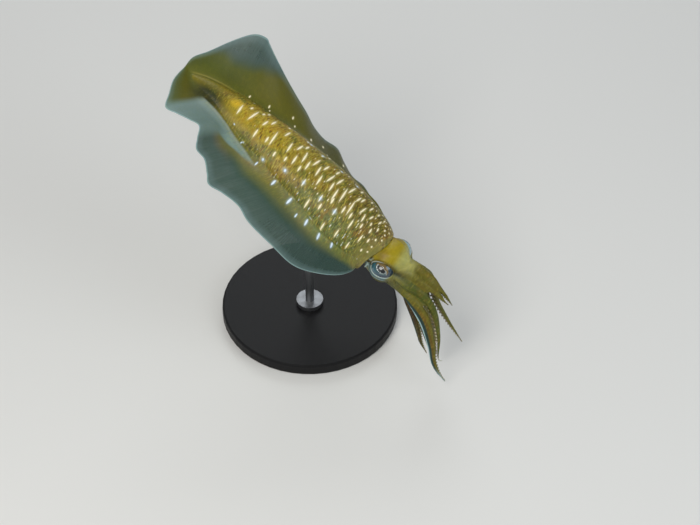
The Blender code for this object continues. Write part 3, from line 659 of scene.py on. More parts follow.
def mantle_mesh():
    """Points, faces and places (kind, x, angle) of rings from the tail tip to the lip and into the mouth."""
    rows, columns = MANTLE_GRID
    angle = around(columns)
    x = np.linspace(0, 1, rows) ** MANTLE_CROWDING * MANTLE_LENGTH
    rings = mantle_point(x[:, None], angle[None, :] + 0 * x[:, None])
    rings[..., 1] += smooth(LEFT_FULLNESS, x)[:, None] * np.maximum(0, np.cos(angle))
    drawn = np.clip((x - LIP_DRAWN_FROM) / (MANTLE_LENGTH - LIP_DRAWN_FROM), 0, 1) ** 2
    rings[..., 1:] *= (1 - LIP_DRAWN_IN * drawn)[:, None, None]
    tip = [rings[0] * (1, share, share) - (push, 0, 0) for push, share in TAIL_TIP]
    inside = 1 - LIP_THICKNESS / (half_width(MANTLE_LENGTH) * (1 - LIP_DRAWN_IN))
    turned = []
    for t in np.linspace(0, math.pi, LIP_STEPS + 1)[1:]:
        share = 1 + (inside - 1) * (1 - math.cos(t)) / 2
        turned.append(rings[-1] * (1, share, share) + (LIP_BULGE * math.sin(t), 0, 0))
    floor = oval(angle, CAVITY_END, *CAVITY_FLOOR)
    cavity = [turned[-1] + (floor - turned[-1]) * t for t in np.linspace(0, 1, CAVITY_STEPS)[1:]]
    middle = floor.mean(0)
    cavity += [middle + (floor - middle) * t for t in (0.66, 0.33)]
    points, faces = tube([*tip, *rings, *turned, *cavity])
    beyond = MANTLE_LENGTH + np.arange(1, len(cavity) + 2)
    station = np.concatenate([np.zeros(len(tip)), x, np.full(len(turned), MANTLE_LENGTH), beyond[:-1]])
    turn = np.concatenate([np.tile(angle, len(station)), [0, 0]])
    station = np.concatenate([station.repeat(columns), [0, beyond[-1]]])
    return points, faces, np.stack([0 * station, station, turn], -1)


def fin_mesh(side):
    """A fin as two sheets a thickness apart, rounded at the edge and flared where it leaves the mantle."""
    rows, columns = FIN_GRID
    x, v = np.broadcast_arrays(
        np.linspace(*FIN_SPAN, rows)[:, None], (np.linspace(0, 1, columns) ** FIN_CROWDING)[None, :]
    )
    sign, kind = (1, 1) if side == "left" else (-1, 2)
    middle = fin_point(side, x, v)
    normal = sign * unit(np.cross(np.gradient(middle, axis=0), np.gradient(middle, axis=1)))
    reach = np.linalg.norm(middle - middle[:, :1], axis=-1)
    full = np.minimum(1.0, 0.15 + (x + 1) / 25)
    swell = FIN_ROOT_SWELL[0] * np.exp(-reach / FIN_ROOT_SWELL[1])
    flare = FIN_ROOT_FLARE[0] * hump(reach / FIN_ROOT_FLARE[1])
    rim = np.sqrt(np.clip((1 - v) / FIN_EDGE_ROUNDING, 0, 1))
    thickness = (FIN_EDGE_THICKNESS + (swell + flare) * full) * (0.25 + 0.75 * rim)
    fillet = FIN_FILLET[0] * hump(reach / FIN_FILLET[1]) * step(4, 40, x) * step(196, 174, x)
    upper = middle + normal * (thickness / 2 + fillet)[..., None]
    lower = middle - normal * (thickness / 2)[..., None]
    points, faces = tube(np.concatenate([upper, lower[:, ::-1]], 1))
    over, under = (np.stack([np.full(x.shape, face), x, v], -1) for face in (kind, -kind))
    return points, faces, with_ends(np.concatenate([over, under[:, ::-1]], 1).reshape(-1, 3))


def nearest(sources, wanted):
    """For each wanted point, the number of the source point nearest to it."""
    tree = kdtree.KDTree(len(sources))
    for index, point in enumerate(sources):
        tree.insert(point, index)
    tree.balance()
    return np.array([tree.find(point)[1] for point in wanted])


def make_body_skin():
    """The mantle with both fins fused to it and the joins evened out, and each point's place on it."""
    parts = [mantle_mesh(), fin_mesh("left"), fin_mesh("right")]
    skin = closed_object("squid_body", *parts[0][:2])
    for part in parts[1:]:
        fuse(skin, closed_object("fin", *part[:2]))
    index = nearest(np.concatenate([part[0] for part in parts]), points_of(skin.data))
    places = np.concatenate([part[2] for part in parts])[index]
    kind, x, across = np.abs(places[:, 0]), places[:, 1], places[:, 2]
    lateral = np.where(np.cos(across) > 0, FIN_ROOT_ANGLE, math.pi - FIN_ROOT_ANGLE)
    off = half_width(x) * np.abs(np.angle(np.exp(1j * (across - lateral))))
    length = np.where(kind == 1, fin_length("left", x), fin_length("right", x))
    off = np.where(kind == 0, off, np.maximum(across * length - FIN_SINK - 2, 0))
    off = np.where((kind == 0) & (x > 197), 99, off)
    weight = 0.6 * hump(off / FIN_FILLET[1])
    weight = np.maximum(weight, 0.5 * (kind > 0) * step(2.5, 0.5, x))
    relax(skin.data, weight, FIN_RELAX_ROUNDS)
    return skin, places


def tone(name):
    return np.array(EYE_TONES[name]) if name in EYE_TONES else linear(*TONES[name])


def layered(paint, *layers):
    """Lays colours over a ground, each given by its name and its share at each point."""
    for name, share in layers:
        paint = mix(paint, tone(name), share)
    return paint


def off_back(turn):
    """Degrees round the mantle from the middle of its back."""
    return np.abs((turn - 90 + 180) % 360 - 180)


def patch(x, turn, place):
    """A soft round patch on the mantle."""
    a, b, long, wide = place
    return hump(np.hypot((x - a) / long, (turn - b) / wide))


def mantle_marks():
    """All marks, listed or faint, as (x, angle, length, half width, strength, share of blue)."""
    rng = np.random.default_rng(SEED)
    marks = []
    for a, b, length in DASHES:
        middle = float(step(35, 50, a) * step(190, 150, a))
        marks.append((a, b, length * (1.15 + 0.25 * middle), 0.58 + 0.34 * middle, 1.0, 0.0))
    marks += [(a, 180 - b + rng.normal(0, 3), length, 0.5, 1.0, 0.0) for a, b, length in DASHES if b > 130]
    for a, b, size in SPOTS:
        marks.append((a, b, size, 0.30 * size, 1.0, 1.0))
        marks.append((a + rng.normal(0, 2), 180 - b, size, 0.30 * size, 1.0, 1.0))
    listed = np.array([(a, b) for a, b, *_ in marks])
    a = FAINT_ALONG[0]
    while a < FAINT_ALONG[1]:
        b = rng.uniform(FAINT_ROUND[0], FAINT_FIRST)
        while b < FAINT_ROUND[1]:
            length = rng.uniform(*FAINT_LENGTH) * (1.0 if a < 186 else 0.55)
            turn = math.degrees(length / float(half_width(a)))
            place = (a + rng.normal(0, 0.7), b + turn / 2)
            near = np.abs(listed[:, 0] - place[0]) < 1.9
            near = near & (np.abs(listed[:, 1] - place[1]) < turn * 0.7)
            if not np.any(near) and rng.random() < FAINT_CHANCE:
                strength = rng.uniform(*FAINT_STRENGTH) * (0.5 + 0.5 * float(step(80, 140, a)))
                blue = 0.7 * float(step(118, 150, place[1]))
                marks.append((*place, length, FAINT_HALF_WIDTH, strength, blue))
            b += turn + rng.uniform(*FAINT_GAP)
        a += 4.4 - 1.6 * float(step(90, 180, a))
    return marks


def mark_fields(x, turn, width):
    """How far each point lies in a pale mark, 1 at its middle and 0 at its edge; its blueness; its halo."""
    pearl, cool, glow = np.zeros((3, len(x)))
    for a, b, length, half, strength, blue in mantle_marks():
        near = np.nonzero(np.abs(x - a) < 6)[0]
        arc = np.radians(turn[near] - b) * width[near]
        along = x[near] - a - DASH_SLANT * arc * np.sign(b - 90 + 1e-9)
        reach = np.abs(arc) / (length * 0.56)
        across = np.abs(along) / (half * (1 - 0.5 * np.clip(reach, 0, 1)))
        core = 1 - np.hypot(reach, across)
        halo = np.exp(-(reach**2 * 1.2 + (along / (half * 2.1)) ** 2))
        if blue == 1:
            core = 1 - np.hypot(arc / (0.3 * length), along / (0.22 * length))
        core, halo = core * strength, halo * strength
        stronger = core > pearl[near]
        pearl[near] = np.maximum(pearl[near], core)
        cool[near] = np.where(stronger, blue, np.maximum(cool[near], blue * halo * 0.9))
        glow[near] = np.maximum(glow[near], halo)
    return pearl, cool, glow


def fin_dots(dots, x, reach):
    """The few pale marks on the base of a fin, by x and millimetres out from the mantle."""
    pearl, glow = np.zeros((2, len(x)))
    for a, r, length in dots:
        out = (reach - r) / (0.6 * length)
        along = (x - a - 0.25 * (reach - r)) / (0.2 * length)
        pearl = np.maximum(pearl, 1 - np.hypot(out, along))
        glow = np.maximum(glow, np.exp(-(out**2 + (along / 1.8) ** 2)))
    return pearl, glow


def mantle_paint(x, turn):
    """The mantle's ground colour by its place: x, and degrees round it with the back at 90."""
    back = off_back(turn)
    gilt = hump((back - 5) / 32) * step(44, 52, x) * step(120, 70, x)
    return layered(
        tone("tail"),
        ("back", step(15, 60, x)),
        ("front", step(110, 185, x)),
        ("flank", step(30, 70, back + 8 * np.sin(x / 9))),
        ("sheen", 0.7 * patch(x, turn, SHEEN)),
        # painted shade in the hollow by the tail, right of the back
        ("hollow", np.minimum(1.3 * patch(x, turn, HOLLOW_SHADE), 1)),
        ("gold", 0.95 * patch(x, turn, GOLD_SPOT)),
        ("gold", 0.35 * gilt),
        ("belly", step(100, 145, back)),
        ("margin", 0.75 * step(np.where(turn > 110, 184, 192), 200, x)),
        ("inside", step(200, 204, x)),
    )


def left_fin_paint(x, v):
    clear = step(-0.15, 0.12, v - smooth(LEFT_CLEAR_FROM, x))
    paint = layered(
        tone("olive"),
        ("olive_gold", step(20, 70, x)),
        ("olive_far", step(90, 130, x)),
        # painted shade in the hollow beside the tail
        ("hollow", 0.6 * hump((x - 20) / 16) * step(0.45, 0.05, v)),
        ("grey_olive", 0.6 * step(34, 12, x) * step(0.75, 0.98, v)),
        ("clear", clear),
    )
    return paint, np.maximum(clear, 0.5 * step(0.4, 0.95, v))


def right_fin_paint(x, v):
    """The folded rear, its pale underside, then a tan and an olive part, each with clear skin beyond."""
    tan = layered(tone("tan"), ("soft_olive", hump((v - 0.32) / 0.2)), ("teal", step(0.36, 0.66, v)))
    base = layered(tone("soft_olive"), ("fin_base", step(100, 140, x)))
    outer = layered(tone("teal"), ("teal_front", step(110, 170, x)))
    slant = step(0.4, 0.04, v)
    # a pale strip along the right fin's base: pale skin with a painted sheen on its crest
    strip = np.exp(-v / (0.1 + 0.16 * step(50, 25, x))) * step(19, 25, x) * step(96, 66, x)
    paint = layered(
        tone("olive_gold"),
        ("grey_olive", step(0.5, 0.95, v)),
        # painted shade in the hollow at the fin's rear
        ("hollow", 0.7 * hump((x - 15) / 8) * step(0.5, 0.1, v)),
    )
    paint = mix(paint, layered(tone("grey_olive"), ("pale", step(0.04, 0.2, v))), step(18, 25, x))
    paint = mix(paint, tan, step(51, 59, x - 34 * slant))
    paint = mix(paint, mix(base, outer, step(0.12, 0.46, v)), step(66, 82, x - 20 * slant))
    clear = np.where(x < 22, 0.3, np.where(x < 56, 0.55, step(0.2, 0.55, v)))
    return layered(paint, ("fold_pale", 0.8 * strip)), clear


def fin_paint(side, x, v, under):
    """A fin's colour by its ray and how far out on it, and how clear it is."""
    paint, clear = left_fin_paint(x, v) if side == "left" else right_fin_paint(x, v)
    rim = step(0.965, 0.992, v)
    paint = layered(
        paint,
        ("pale", 0.35 * under * step(0.0, 0.3, v)),
        ("rim", 0.22 * step(0.8, 0.97, v) + 0.5 * rim),
    )
    return paint, clear * (1 - 0.6 * rim)


def body_flecks(x, turn):
    """The strength of the mantle's streaks and chromatophores: less on tail, belly, lip and gold spot."""
    fleck = (1 - 0.72 * step(95, 140, off_back(turn))) * (step(206, 198, x) * 0.8 + 0.2)
    quiet = np.maximum(0.6 * step(184, 194, x), 0.55 * step(75, 50, x))
    fleck = fleck * np.where(turn > 110, 1 - quiet, 1) * (1 - 0.85 * step(44, 16, x))
    return fleck * (1 - 0.7 * hump((x - GOLD_SPOT[0]) / 6) * hump((turn - GOLD_SPOT[1]) / 24))


def paint_body(mesh, places):
    """Colours, pale marks, flecks and clearness of every point of mantle and fins."""
    kind, x, across = places.T
    turn = np.degrees(across) % 360
    on_mantle = kind == 0
    paint = mantle_paint(x, np.where(on_mantle, turn, 0))
    width = half_width(x)
    pearl, cool, glow, clear = np.zeros((4, len(x)))
    fleck = np.where(on_mantle, body_flecks(x, turn), 0)
    for number, side in ((1, "left"), (2, "right")):
        left = side == "left"
        on = np.abs(kind) == number
        a, v, upper = x[on], across[on], kind[on] > 0
        fin, thin = fin_paint(side, a, v, (~upper).astype(float))
        out = v * fin_length(side, a) - FIN_SINK
        reach = np.maximum(out, 0)
        blend = step(1, 15 if left else 8, reach)
        if left:
            ridge = 0.65 * hump(reach - 1.4 - a / 40) * step(0, 6, a) * step(56, 38, a)
        else:
            sharp = step(18, 26, a) * step(104, 84, a)
            blend = blend * (1 - sharp) + step(1.6, 2.8, reach) * sharp
            # a pale line on the right fin's crest: pale skin with a painted sheen
            ridge = 0.5 * hump((reach - 3.2) / 0.9) * step(28, 36, a) * step(95, 75, a)
        root = mantle_paint(a, np.full(on.sum(), 8.0 if left else 152.0))
        paint[on] = layered(mix(root, fin, blend), ("crest" if left else "fold_pale", 0.9 * ridge))
        clear[on] = thin * step(1, 9, reach)
        spread = 0.45 * step(9, -2, reach) + 0.05 * step(0, 9, reach) * step(1.0, 0.3, v) * (1 - clear[on])
        fleck[on] = spread * (1 - 0.85 * step(44, 16, a))
        dots, halo = fin_dots(FIN_DOTS if left else RIGHT_FIN_DOTS, a, out)
        pearl[on], glow[on], cool[on] = dots * upper, halo * upper, 0.0 if left else 1.0
    shown = np.nonzero(on_mantle & (x <= 200) & (turn < 200))[0]
    pearl[shown], cool[shown], glow[shown] = mark_fields(x[shown], turn[shown], width[shown])
    points = points_of(mesh)
    arc = width * np.radians(np.where(on_mantle, np.minimum(off_back(turn), 84), 84))
    streak = np.stack([x - DASH_SLANT * arc, points[:, 1], points[:, 2]], -1)
    dress(mesh, paint, streak, pearl=pearl, cool=cool, glow=glow, fleck=fleck, clear=clear)


def dress(mesh, paint, streak, **fields):
    """Puts the values that the skin's material reads on the mesh."""
    store_paint(mesh, np.clip(paint, 0, 1))
    for name, values in fields.items():
        store(mesh, name, values)
    store(mesh, "streak", streak, "FLOAT_VECTOR", "vector")


# Head and arms, one skin


def head_section(x):
    """Half width, half height and height of the middle of the head at x."""
    return smooth(HEAD_SECTIONS, x).T


def head_tube():
    """The head from the neck to the crown, with its front closed by a low dome."""
    x = np.linspace(HEAD_SECTIONS[0][0] - HEAD_SINK, HEAD_FRONT, HEAD_GRID[0])
    rings = oval(around(HEAD_GRID[1]), x[:, None], *(row[:, None] for row in head_section(x)))
    front = [
        (rings[-1] - (0, 0, CROWN_Z)) * (1, share, share) + (push, 0, CROWN_Z)
        for push, share in HEAD_DOME
    ]
    return tube([*rings, *front])


def limb_tube(limb):
    """An arm or tentacle from inside the crown to its tip, flat on its sucker side, with an outer ridge."""
    share = np.linspace(0, 1, LIMB_GRID[0]) ** LIMB_CROWDING
    place, way, inward = (at_share(limb, key, share) for key in ("places", "ways", "inward"))
    radius = limb_radius(limb, share)
    ridge = limb["ridge"] * smooth(RIDGE_PROFILE, share)
    side = unit(np.cross(way, inward))
    angle = around(LIMB_GRID[1])
    flat = 1 - ARM_FLATTENING * np.maximum(0, np.cos(angle)) ** 2
    keel = np.maximum(0, -np.cos(angle)) ** KEEL_SHARPNESS
    reach = radius[:, None] * flat + ridge[:, None] * keel
    rings = (
        place[:, None]
        + inward[:, None] * (reach * np.cos(angle))[..., None]
        + side[:, None] * (radius[:, None] * np.sin(angle))[..., None]
    )
    rings[-1] = place[-1] + (rings[-1] - place[-1]) * 0.6
    return tube([rings[0] - (4, 0, 0), *rings])


def web_sheet(a, b, reach):
    """A web between two neighbouring arms, hollowed along its free edge."""
    down, t = np.linspace(0, 1, WEB_GRID[0])[:, None], np.linspace(0, 1, WEB_GRID[1])[None, :]
    s = down * reach * (1 - WEB_HOLLOW * np.sin(math.pi * t))
    first, second = (
        at_share(arm, "places", s / arm["length"])
        - WEB_TO_ORAL * at_share(arm, "inward", s / arm["length"]) * arm["thick"]
        for arm in (a, b)
    )
    middle = first + (second - first) * t[..., None] - (WEB_SINK, 0, 0) * (1 - down[..., None])
    normal = unit(np.cross(np.gradient(middle, axis=0), np.gradient(middle, axis=1)))
    thick, thin = WEB_THICKNESS
    half = (thick - (thick - thin) * down[..., None]) / 2
    return tube(np.concatenate([middle + normal * half, (middle - normal * half)[:, ::-1]], 1))


def funnel_tube():
    """The funnel, open at its front end."""
    angle = around(FUNNEL_GRID[1])
    x = np.linspace(FUNNEL_SECTIONS[0][0], FUNNEL_SECTIONS[-1][0], FUNNEL_GRID[0])
    radius, middle = smooth(FUNNEL_SECTIONS, x).T

    def ring(x, radius, z, share):
        return oval(angle, x, share * radius, FUNNEL_FLATNESS * share * radius, z)

    outer = [ring(*row, 1.0) for row in zip(x, radius, middle)]
    rim = [ring(x[-1] + push, radius[-1], middle[-1], share) for push, share in FUNNEL_RIM]
    inner = [ring(*row, FUNNEL_BORE) for row in list(zip(x, radius, middle))[:14:-4]]
    return tube([*outer, *rim, *inner])


def lips_tube():
    """The folded lips round the beak."""
    angle = around(LIPS_SIDES)
    folds = 1 + LIP_FOLD_DEPTH * np.cos(LIP_FOLDS * angle)
    return tube([
        oval(angle, HEAD_FRONT + rise, radius * folds, radius * folds, CROWN_Z)
        for rise, radius in LIPS_PROFILE
    ])


def eye_axes(sign):
    """The gaze, the forward and the upward direction of an eye."""
    look = gaze(sign)
    fore = unit(np.array((1.0, 0, 0)) - look * look[0])
    over = np.cross(look, fore) if sign > 0 else np.cross(fore, look)
    return look, fore, over * (1 if over[2] > 0 else -1)


def eye_polar(points, sign):
    """Distance from the eye's centre, and the angles from its gaze forward and upward, in radians."""
    look, fore, over = eye_axes(sign)
    away = points - eye_centre(sign)
    reach = np.linalg.norm(away, axis=1)
    way = away / reach[:, None]
    theta = np.arccos(np.clip(way @ look, -1, 1))
    turn = np.arctan2(way @ over, way @ fore)
    return reach, theta * np.cos(turn), theta * np.sin(turn)


def lid_place(fore, over):
    """How far a place is from the eye's middle, with the edge of the lids at 1, and its height over them."""
    a = fore * math.cos(EYE_TILT) + over * math.sin(EYE_TILT)
    b = over * math.cos(EYE_TILT) - fore * math.sin(EYE_TILT)
    long, upper, lower = EYE_OPENING
    return np.hypot(a / long, b / np.where(b > 0, upper, lower)), b


def shape_lids(points):
    """Draws the skin round each eye on to the eyeball, as lids with a brow over them."""
    for sign in (1, -1):
        reach, fore, over = eye_polar(points, sign)
        edge, height = lid_place(fore, over)
        theta = np.hypot(fore, over)
        near = (theta < LID_REACH) & (reach < LID_DEPTH) & (points[:, 1] * sign > 0)
        brow = LID_HEIGHT + BROW_HEIGHT * step(0.1, 0.5, height) * step(1.5, 1.05, edge)
        lid = EYE_RADIUS + brow * np.sin(np.clip((edge - 1) / LID_ROUNDING, 0, 1) * math.pi / 2) ** 0.5
        lid = np.where(edge < 1, EYE_RADIUS - LID_SINK, lid)
        wanted = lid + (np.maximum(reach, lid) - lid) * step(1.15, 2.1, edge)
        share = np.where(near, step(LID_REACH, LID_FADE, theta), 0)
        share = np.where(near & (edge < 1.2), 1, share)
        centre = eye_centre(sign)
        points = centre + (points - centre) * (1 + share * (wanted / reach - 1))[:, None]
    return points


def make_head_skin(limbs):
    """Head, funnel, lips, arms, webs and tentacles, grown together and smoothed."""
    pieces = [head_tube(), funnel_tube(), lips_tube()]
    pieces += [limb_tube(limb) for limb in limbs.values()]
    ring = [limbs[f"arm_{name}"] for name in CROWN_ORDER]
    for a, b in zip(ring, ring[1:] + ring[:1]):
        reach = WEB_REACH.get(b["name"], WEB_REACH["arm"])
        if a["pair"] == b["pair"] == 1:
            reach = BLADE_REACH * a["length"]
        pieces.append(web_sheet(a, b, reach))
    skin = closed_object("squid_head", *gathered(pieces))
    remesh = skin.modifiers.new("grown", "REMESH")
    remesh.mode = "VOXEL"
    remesh.voxel_size = HEAD_VOXEL
    apply_modifiers(skin)
    points = points_of(skin.data)
    crown = step(*CROWN_RISE, points[:, 0]) * step(*CROWN_FALL, points[:, 0])
    for strength, at_crown, rounds in HEAD_RELAX:
        points = relax(skin.data, strength + at_crown * crown, rounds)
    points = shape_lids(points)
    axis = np.stack([0 * points[:, 0], points[:, 1], points[:, 2] - CROWN_Z], -1)
    points = points + unit(axis) * (FOLD_HEIGHT * neck_fold(points))[:, None]
    move_points(skin.data, points)
    return skin, points


def paint_lids(paint, points, sign):
    """Colours the lids of one eye, the near one's with a dark brow and a corner, the far one's with a painted
    reflection on its upper lid, and the tinge behind it.
    """
    reach, fore, over = eye_polar(points, sign)
    edge, height = lid_place(fore, over)
    near = (reach < 16) & (points[:, 1] * sign > 0)
    low = near * step(0.1, -0.2, height) * step(1.05, 0.6, fore)
    rim = near * step(1.12, 1.04, edge) * step(0.05, -0.12, height) * step(1.15, 0.7, fore)
    rim = np.maximum(rim, 0.6 * low * hump((edge - 1.4) / 0.05))
    layers = [("lid", 0.85 * low * step(1.75, 1.3, edge)), ("lid_edge", 0.7 * rim)]
    if sign < 0:
        line = hump((edge - 1.09) / 0.04) * near * step(-0.1, 0.15, height) * step(-0.1, -0.6, fore)
        corner = near * hump(height / 0.2) * step(1.75, 1.5, fore) * step(0.9, 1.1, fore)
        layers += [
            ("brow", near * 0.92 * step(-0.1, 0.1, height) * step(1.6, 1.05, edge)),
            ("lid_edge", 0.75 * line),
            ("corner", 0.85 * corner * step(0.98, 1.05, edge)),
        ]
    else:
        # painted reflection: pale blue over the far, left eye's upper lid
        layers.append(("far_lid", 0.6 * near * step(0.0, 0.3, height) * step(1.4, 1.1, edge)))
    tinge = np.linalg.norm(points - np.array(TINGE_PLACE) * (1, sign, 1), axis=1)
    return layered(paint, *layers, ("tinge", 0.5 * hump(tinge / 4.5)))


def paint_limb(name, limb, points, number):
    """Colour, flecks and clearness of a limb's points, each with the number of its nearest frame."""
    share = number / LIMB_STEPS
    way = limb["ways"][number]
    away = points - limb["places"][number]
    away = away - way * (away * way).sum(1)[:, None]
    reach = np.linalg.norm(away, axis=1)
    oral = (away * limb["inward"][number]).sum(1) / np.maximum(reach, 1e-6)
    ridge = limb["ridge"] * smooth(RIDGE_PROFILE, share)
    out = (reach - limb_radius(limb, share)) / np.maximum(ridge, 0.3)
    keel = step(0.12, 0.3, out) * step(0.2, -0.4, oral) * (ridge > 0.6)
    third, hooked = limb["pair"] == 3, name == "arm_right_2"
    # the pair's ground tone; the fourth pair's is painted shade
    ground = tone(LIMB_TONES[name.split("_")[1]][limb["pair"] - 1])
    paint = layered(
        np.broadcast_to(ground, (len(share), 3)),
        ("arm_pale", 0.5 * step(0.6, 1.0, share)),
        ("ridge", third * 0.85 * hump((oral + 0.75) / 0.3) * step(0.1, 0.35, share)),
        ("keel", keel),
        ("keel_rim", 0.95 * keel * step(0.66, 0.84, out)),
        ("keel_rim", third * 0.6 * step(0.82, 0.97, share) * step(0.3, -0.3, oral)),
        ("hook", hooked * step(0.93, 0.97, share)),
        ("sucker_side", step(0.45, 0.9, oral) * step(0.12, 0.3, share)),
    )
    fleck = 0.3 * step(0.7, 0.2, oral) * (1 - keel)
    return paint, fleck, 0.5 * keel + 0.3 * step(0.85, 1.0, share)


def paint_head(mesh, points, limbs):
    """Colours, flecks and clearness of every point of head, arms, tentacles, funnel and lips."""
    x, y, z = points.T
    _, high, middle = head_section(x)
    up = (z - middle) / high
    paint = layered(
        tone("nape"),
        ("head_gold", step(197, 206, x)),
        ("crown", 0.9 * step(214, 221, x + 0.2 * y)),
        ("arm", step(227, 238, x + 0.2 * y)),
        ("cheek", 0.85 * step(0.4, -0.1, up)),
        ("throat", step(-0.3, -0.8, up)),
    )
    for sign in (1, -1):
        paint = paint_lids(paint, points, sign)
    paint = layered(paint, ("fold", 0.9 * np.clip(neck_fold(points), 0, 1)))

    far = x > 228
    index = nearest(np.concatenate([limb["places"] for limb in limbs.values()]), points[far])
    owner, number = index // (LIMB_STEPS + 1), index % (LIMB_STEPS + 1)
    skin, limb_fleck, limb_clear = np.zeros((far.sum(), 3)), np.zeros(far.sum()), np.zeros(far.sum())
    for k, (name, limb) in enumerate(limbs.items()):
        on = owner == k
        skin[on], limb_fleck[on], limb_clear[on] = paint_limb(name, limb, points[far][on], number[on])
    share = step(231, 241, x[far])
    fleck, clear = 0.2 * step(-0.5, 0.0, up), np.zeros(len(x))
    paint[far] = mix(paint[far], skin, share)
    fleck[far] = fleck[far] * (1 - share) + limb_fleck * share
    clear[far] = limb_clear * share
    none = np.zeros(len(x))
    dress(mesh, paint, points, pearl=none, cool=none, glow=none, fleck=fleck, clear=clear)


def neck_fold(points):
    """The crest of skin behind each eye, as a share of its full height."""
    x, y, z = points.T
    line = FOLD_PLACE + 0.04 * (z - 2) ** 2 / 4
    return hump((x - line) / 0.9) * step(6, 14, np.abs(y)) * step(12, 4, z) * step(-14, -8, z)


# Eyes, beak and suckers


def make_eye(sign, side):
    """The eyeball: a pupil sunk under a lobe of the iris, in a silver and teal ball."""
    look, fore, over = eye_axes(sign)
    theta = np.linspace(0.004, math.pi - 0.004, EYE_GRID[0])[:, None]
    turn = around(EYE_GRID[1])[None, :]
    way = (
        look * np.cos(theta)[..., None]
        + (fore * np.cos(turn)[..., None] + over * np.sin(turn)[..., None]) * np.sin(theta)[..., None]
    )
    f, o = EYE_RADIUS * theta * np.cos(turn), EYE_RADIUS * theta * np.sin(turn)
    pupil, ring, lobe, iris = eye_marks(f, o)
    radius = EYE_RADIUS + EYE_RELIEF["pupil"] * pupil + EYE_RELIEF["ring"] * ring + EYE_RELIEF["lobe"] * lobe
    made = closed_object(f"eye_ball_{side}", *tube(eye_centre(sign) + way * radius[..., None]))
    paint = layered(
        tone("ball"),
        ("deep", step(-5, 6, f - 0.5 * o)),
        ("eye_pale", 0.75 * step(-5.5, -9.5, o - 0.35 * f)),
        ("iris", iris),
        ("lobe", lobe),
        ("silver", ring),
        ("pupil", pupil),
        # painted reflection: pale blue over the upper part of the far, left eye
        ("eye_pale", 0.95 * (sign > 0) * step(1.8, 3.2, o)),
    )
    store_paint(made.data, with_ends(paint.reshape(-1, 3)))
    store(made.data, "silver", with_ends(ring.ravel()))
    return made


def eye_marks(f, o):
    """Masks of the pupil, its silver ring, the lobe over it and the iris, by millimetres on the ball."""
    f, o = f + 0.4, o - 0.9
    away = np.hypot(f / PUPIL[0], o / PUPIL[1])
    turn = np.arctan2(o, f)
    ripple = 0.05 * np.sin(5 * turn) + 0.03 * np.sin(11 * turn + 1)
    lobe_edge = 1.5 - 0.06 * f**2 + 0.35 * np.cos(f * 1.5)
    under = step(lobe_edge + 0.2, lobe_edge - 0.1, o)
    pupil = step(0.98, 0.88, away + ripple) * under
    ring = step(0.94, 1.0, away + ripple) * step(1.19, 1.1, away - ripple) * step(1.4, 0.0, o)
    ring = ring * (0.35 + 0.65 * step(0.4, -0.6, np.cos(turn + 0.6)))
    hem = hump((o - lobe_edge - 0.1) / 0.28) * step(-1.5, 0.5, f) * step(7, 5.5, f)
    ring = np.maximum(ring, 0.8 * hem)
    return pupil, ring, step(1.6, 1.35, away) * (1 - under), step(1.75, 1.2, away)


def sucker_mesh(place, out, way, radius):
    """Points and faces of a sucker: a waist, a swollen cup and a rim with a hollow in it."""
    side, angle = unit(np.cross(way, out)), around(SUCKER_SIDES)[:, None]
    across = way * np.cos(angle) + side * np.sin(angle)
    return tube([place + out * rise * radius + share * radius * across for rise, share in SUCKER_PROFILE])


def make_suckers(limbs):
    """Two rows of suckers on each arm and four on each club, as one piece."""
    suckers, rims = [], []
    for limb in limbs.values():
        club = limb["pair"] == 5
        rows = CLUB_ROWS if club else SUCKER_ROWS
        number = SUCKERS_ON_CLUB if club else SUCKERS_ON_ARM[limb["pair"]]
        start, end = (CLUB_START + 0.03, 0.99) if club else SUCKER_SPAN
        for k in range(number):
            share = start + (end - start) * (1 - (1 - k / (number - 1)) ** SUCKER_CROWDING)
            turn = math.radians(rows[k % len(rows)])
            place, way, inward = (at_share(limb, key, share) for key in ("places", "ways", "inward"))
            out = inward * math.cos(turn) + unit(np.cross(way, inward)) * math.sin(turn)
            reach = float(limb_radius(limb, share))
            radius = CLUB_SUCKER_SIZE * reach
            if not club:
                most, taper, least = SUCKER_SIZE
                radius = (most * (1 - share) ** taper + least) * smooth(SUCKER_GROWTH, share)
            suckers.append(sucker_mesh(place + out * reach * SUCKER_OUT, out, way, float(radius)))
            bright = limb["pair"] == 2 and limb["sign"] < 0 and share > BRIGHT_RIMS_FROM
            shades = np.concatenate([np.repeat(RIM_SHADES, SUCKER_SIDES), [0, 0.9]])
            rims.append(shades * (1.0 if bright else DIM_RIM))
    made = closed_object("suckers", *gathered(suckers))
    store(made.data, "rim", np.concatenate(rims))
    return made


def make_beak():
    """The two horny halves of the beak, just open between the lips."""
    angle = around(BEAK_SIDES)
    rings = []
    for rise, radius in BEAK_PROFILE:
        notch = 0.5 * hump(np.abs(np.sin(angle)) / 0.35) * (rise / 4)
        hook = 0.35 * (rise / 4) ** 2
        x = HEAD_FRONT + 0.8 + rise - notch
        rings.append(oval(angle, x, radius, radius * 0.85, CROWN_Z - hook))
    return closed_object("beak_tips", *tube(rings))


# Finish


def material(name, colour=(0.5, 0.5, 0.5), roughness=0.4, **inputs):
    made = bpy.data.materials.new(name)
    made.use_nodes = True
    shader = made.node_tree.nodes["Principled BSDF"]
    shader.inputs["Base Color"].default_value = (*colour, 1.0)
    shader.inputs["Roughness"].default_value = roughness
    for key, value in inputs.items():
        shader.inputs[key.replace("_", " ").title().replace("Ior", "IOR")].default_value = value
    return made


def clothe(made, finish, name, *nodes):
    """Gives a finished piece its material and smooth shading, hangs it under the frame's root body and hides
    the nodes it replaces.
    """
    made.data.materials.clear()
    made.data.materials.append(finish)
    made.data.shade_smooth()
    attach(made, "root")
    if nodes:
        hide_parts(*nodes)


def settle(made):
    """Moves a piece made along the animal's axes, in millimetres, into the frame, in metres."""
    turn = np.array(Matrix.Rotation(BODY_PITCH, 3, "Y"))
    move_points(made.data, (points_of(made.data) @ turn.T + np.array(BODY_PLACE)) * MM)


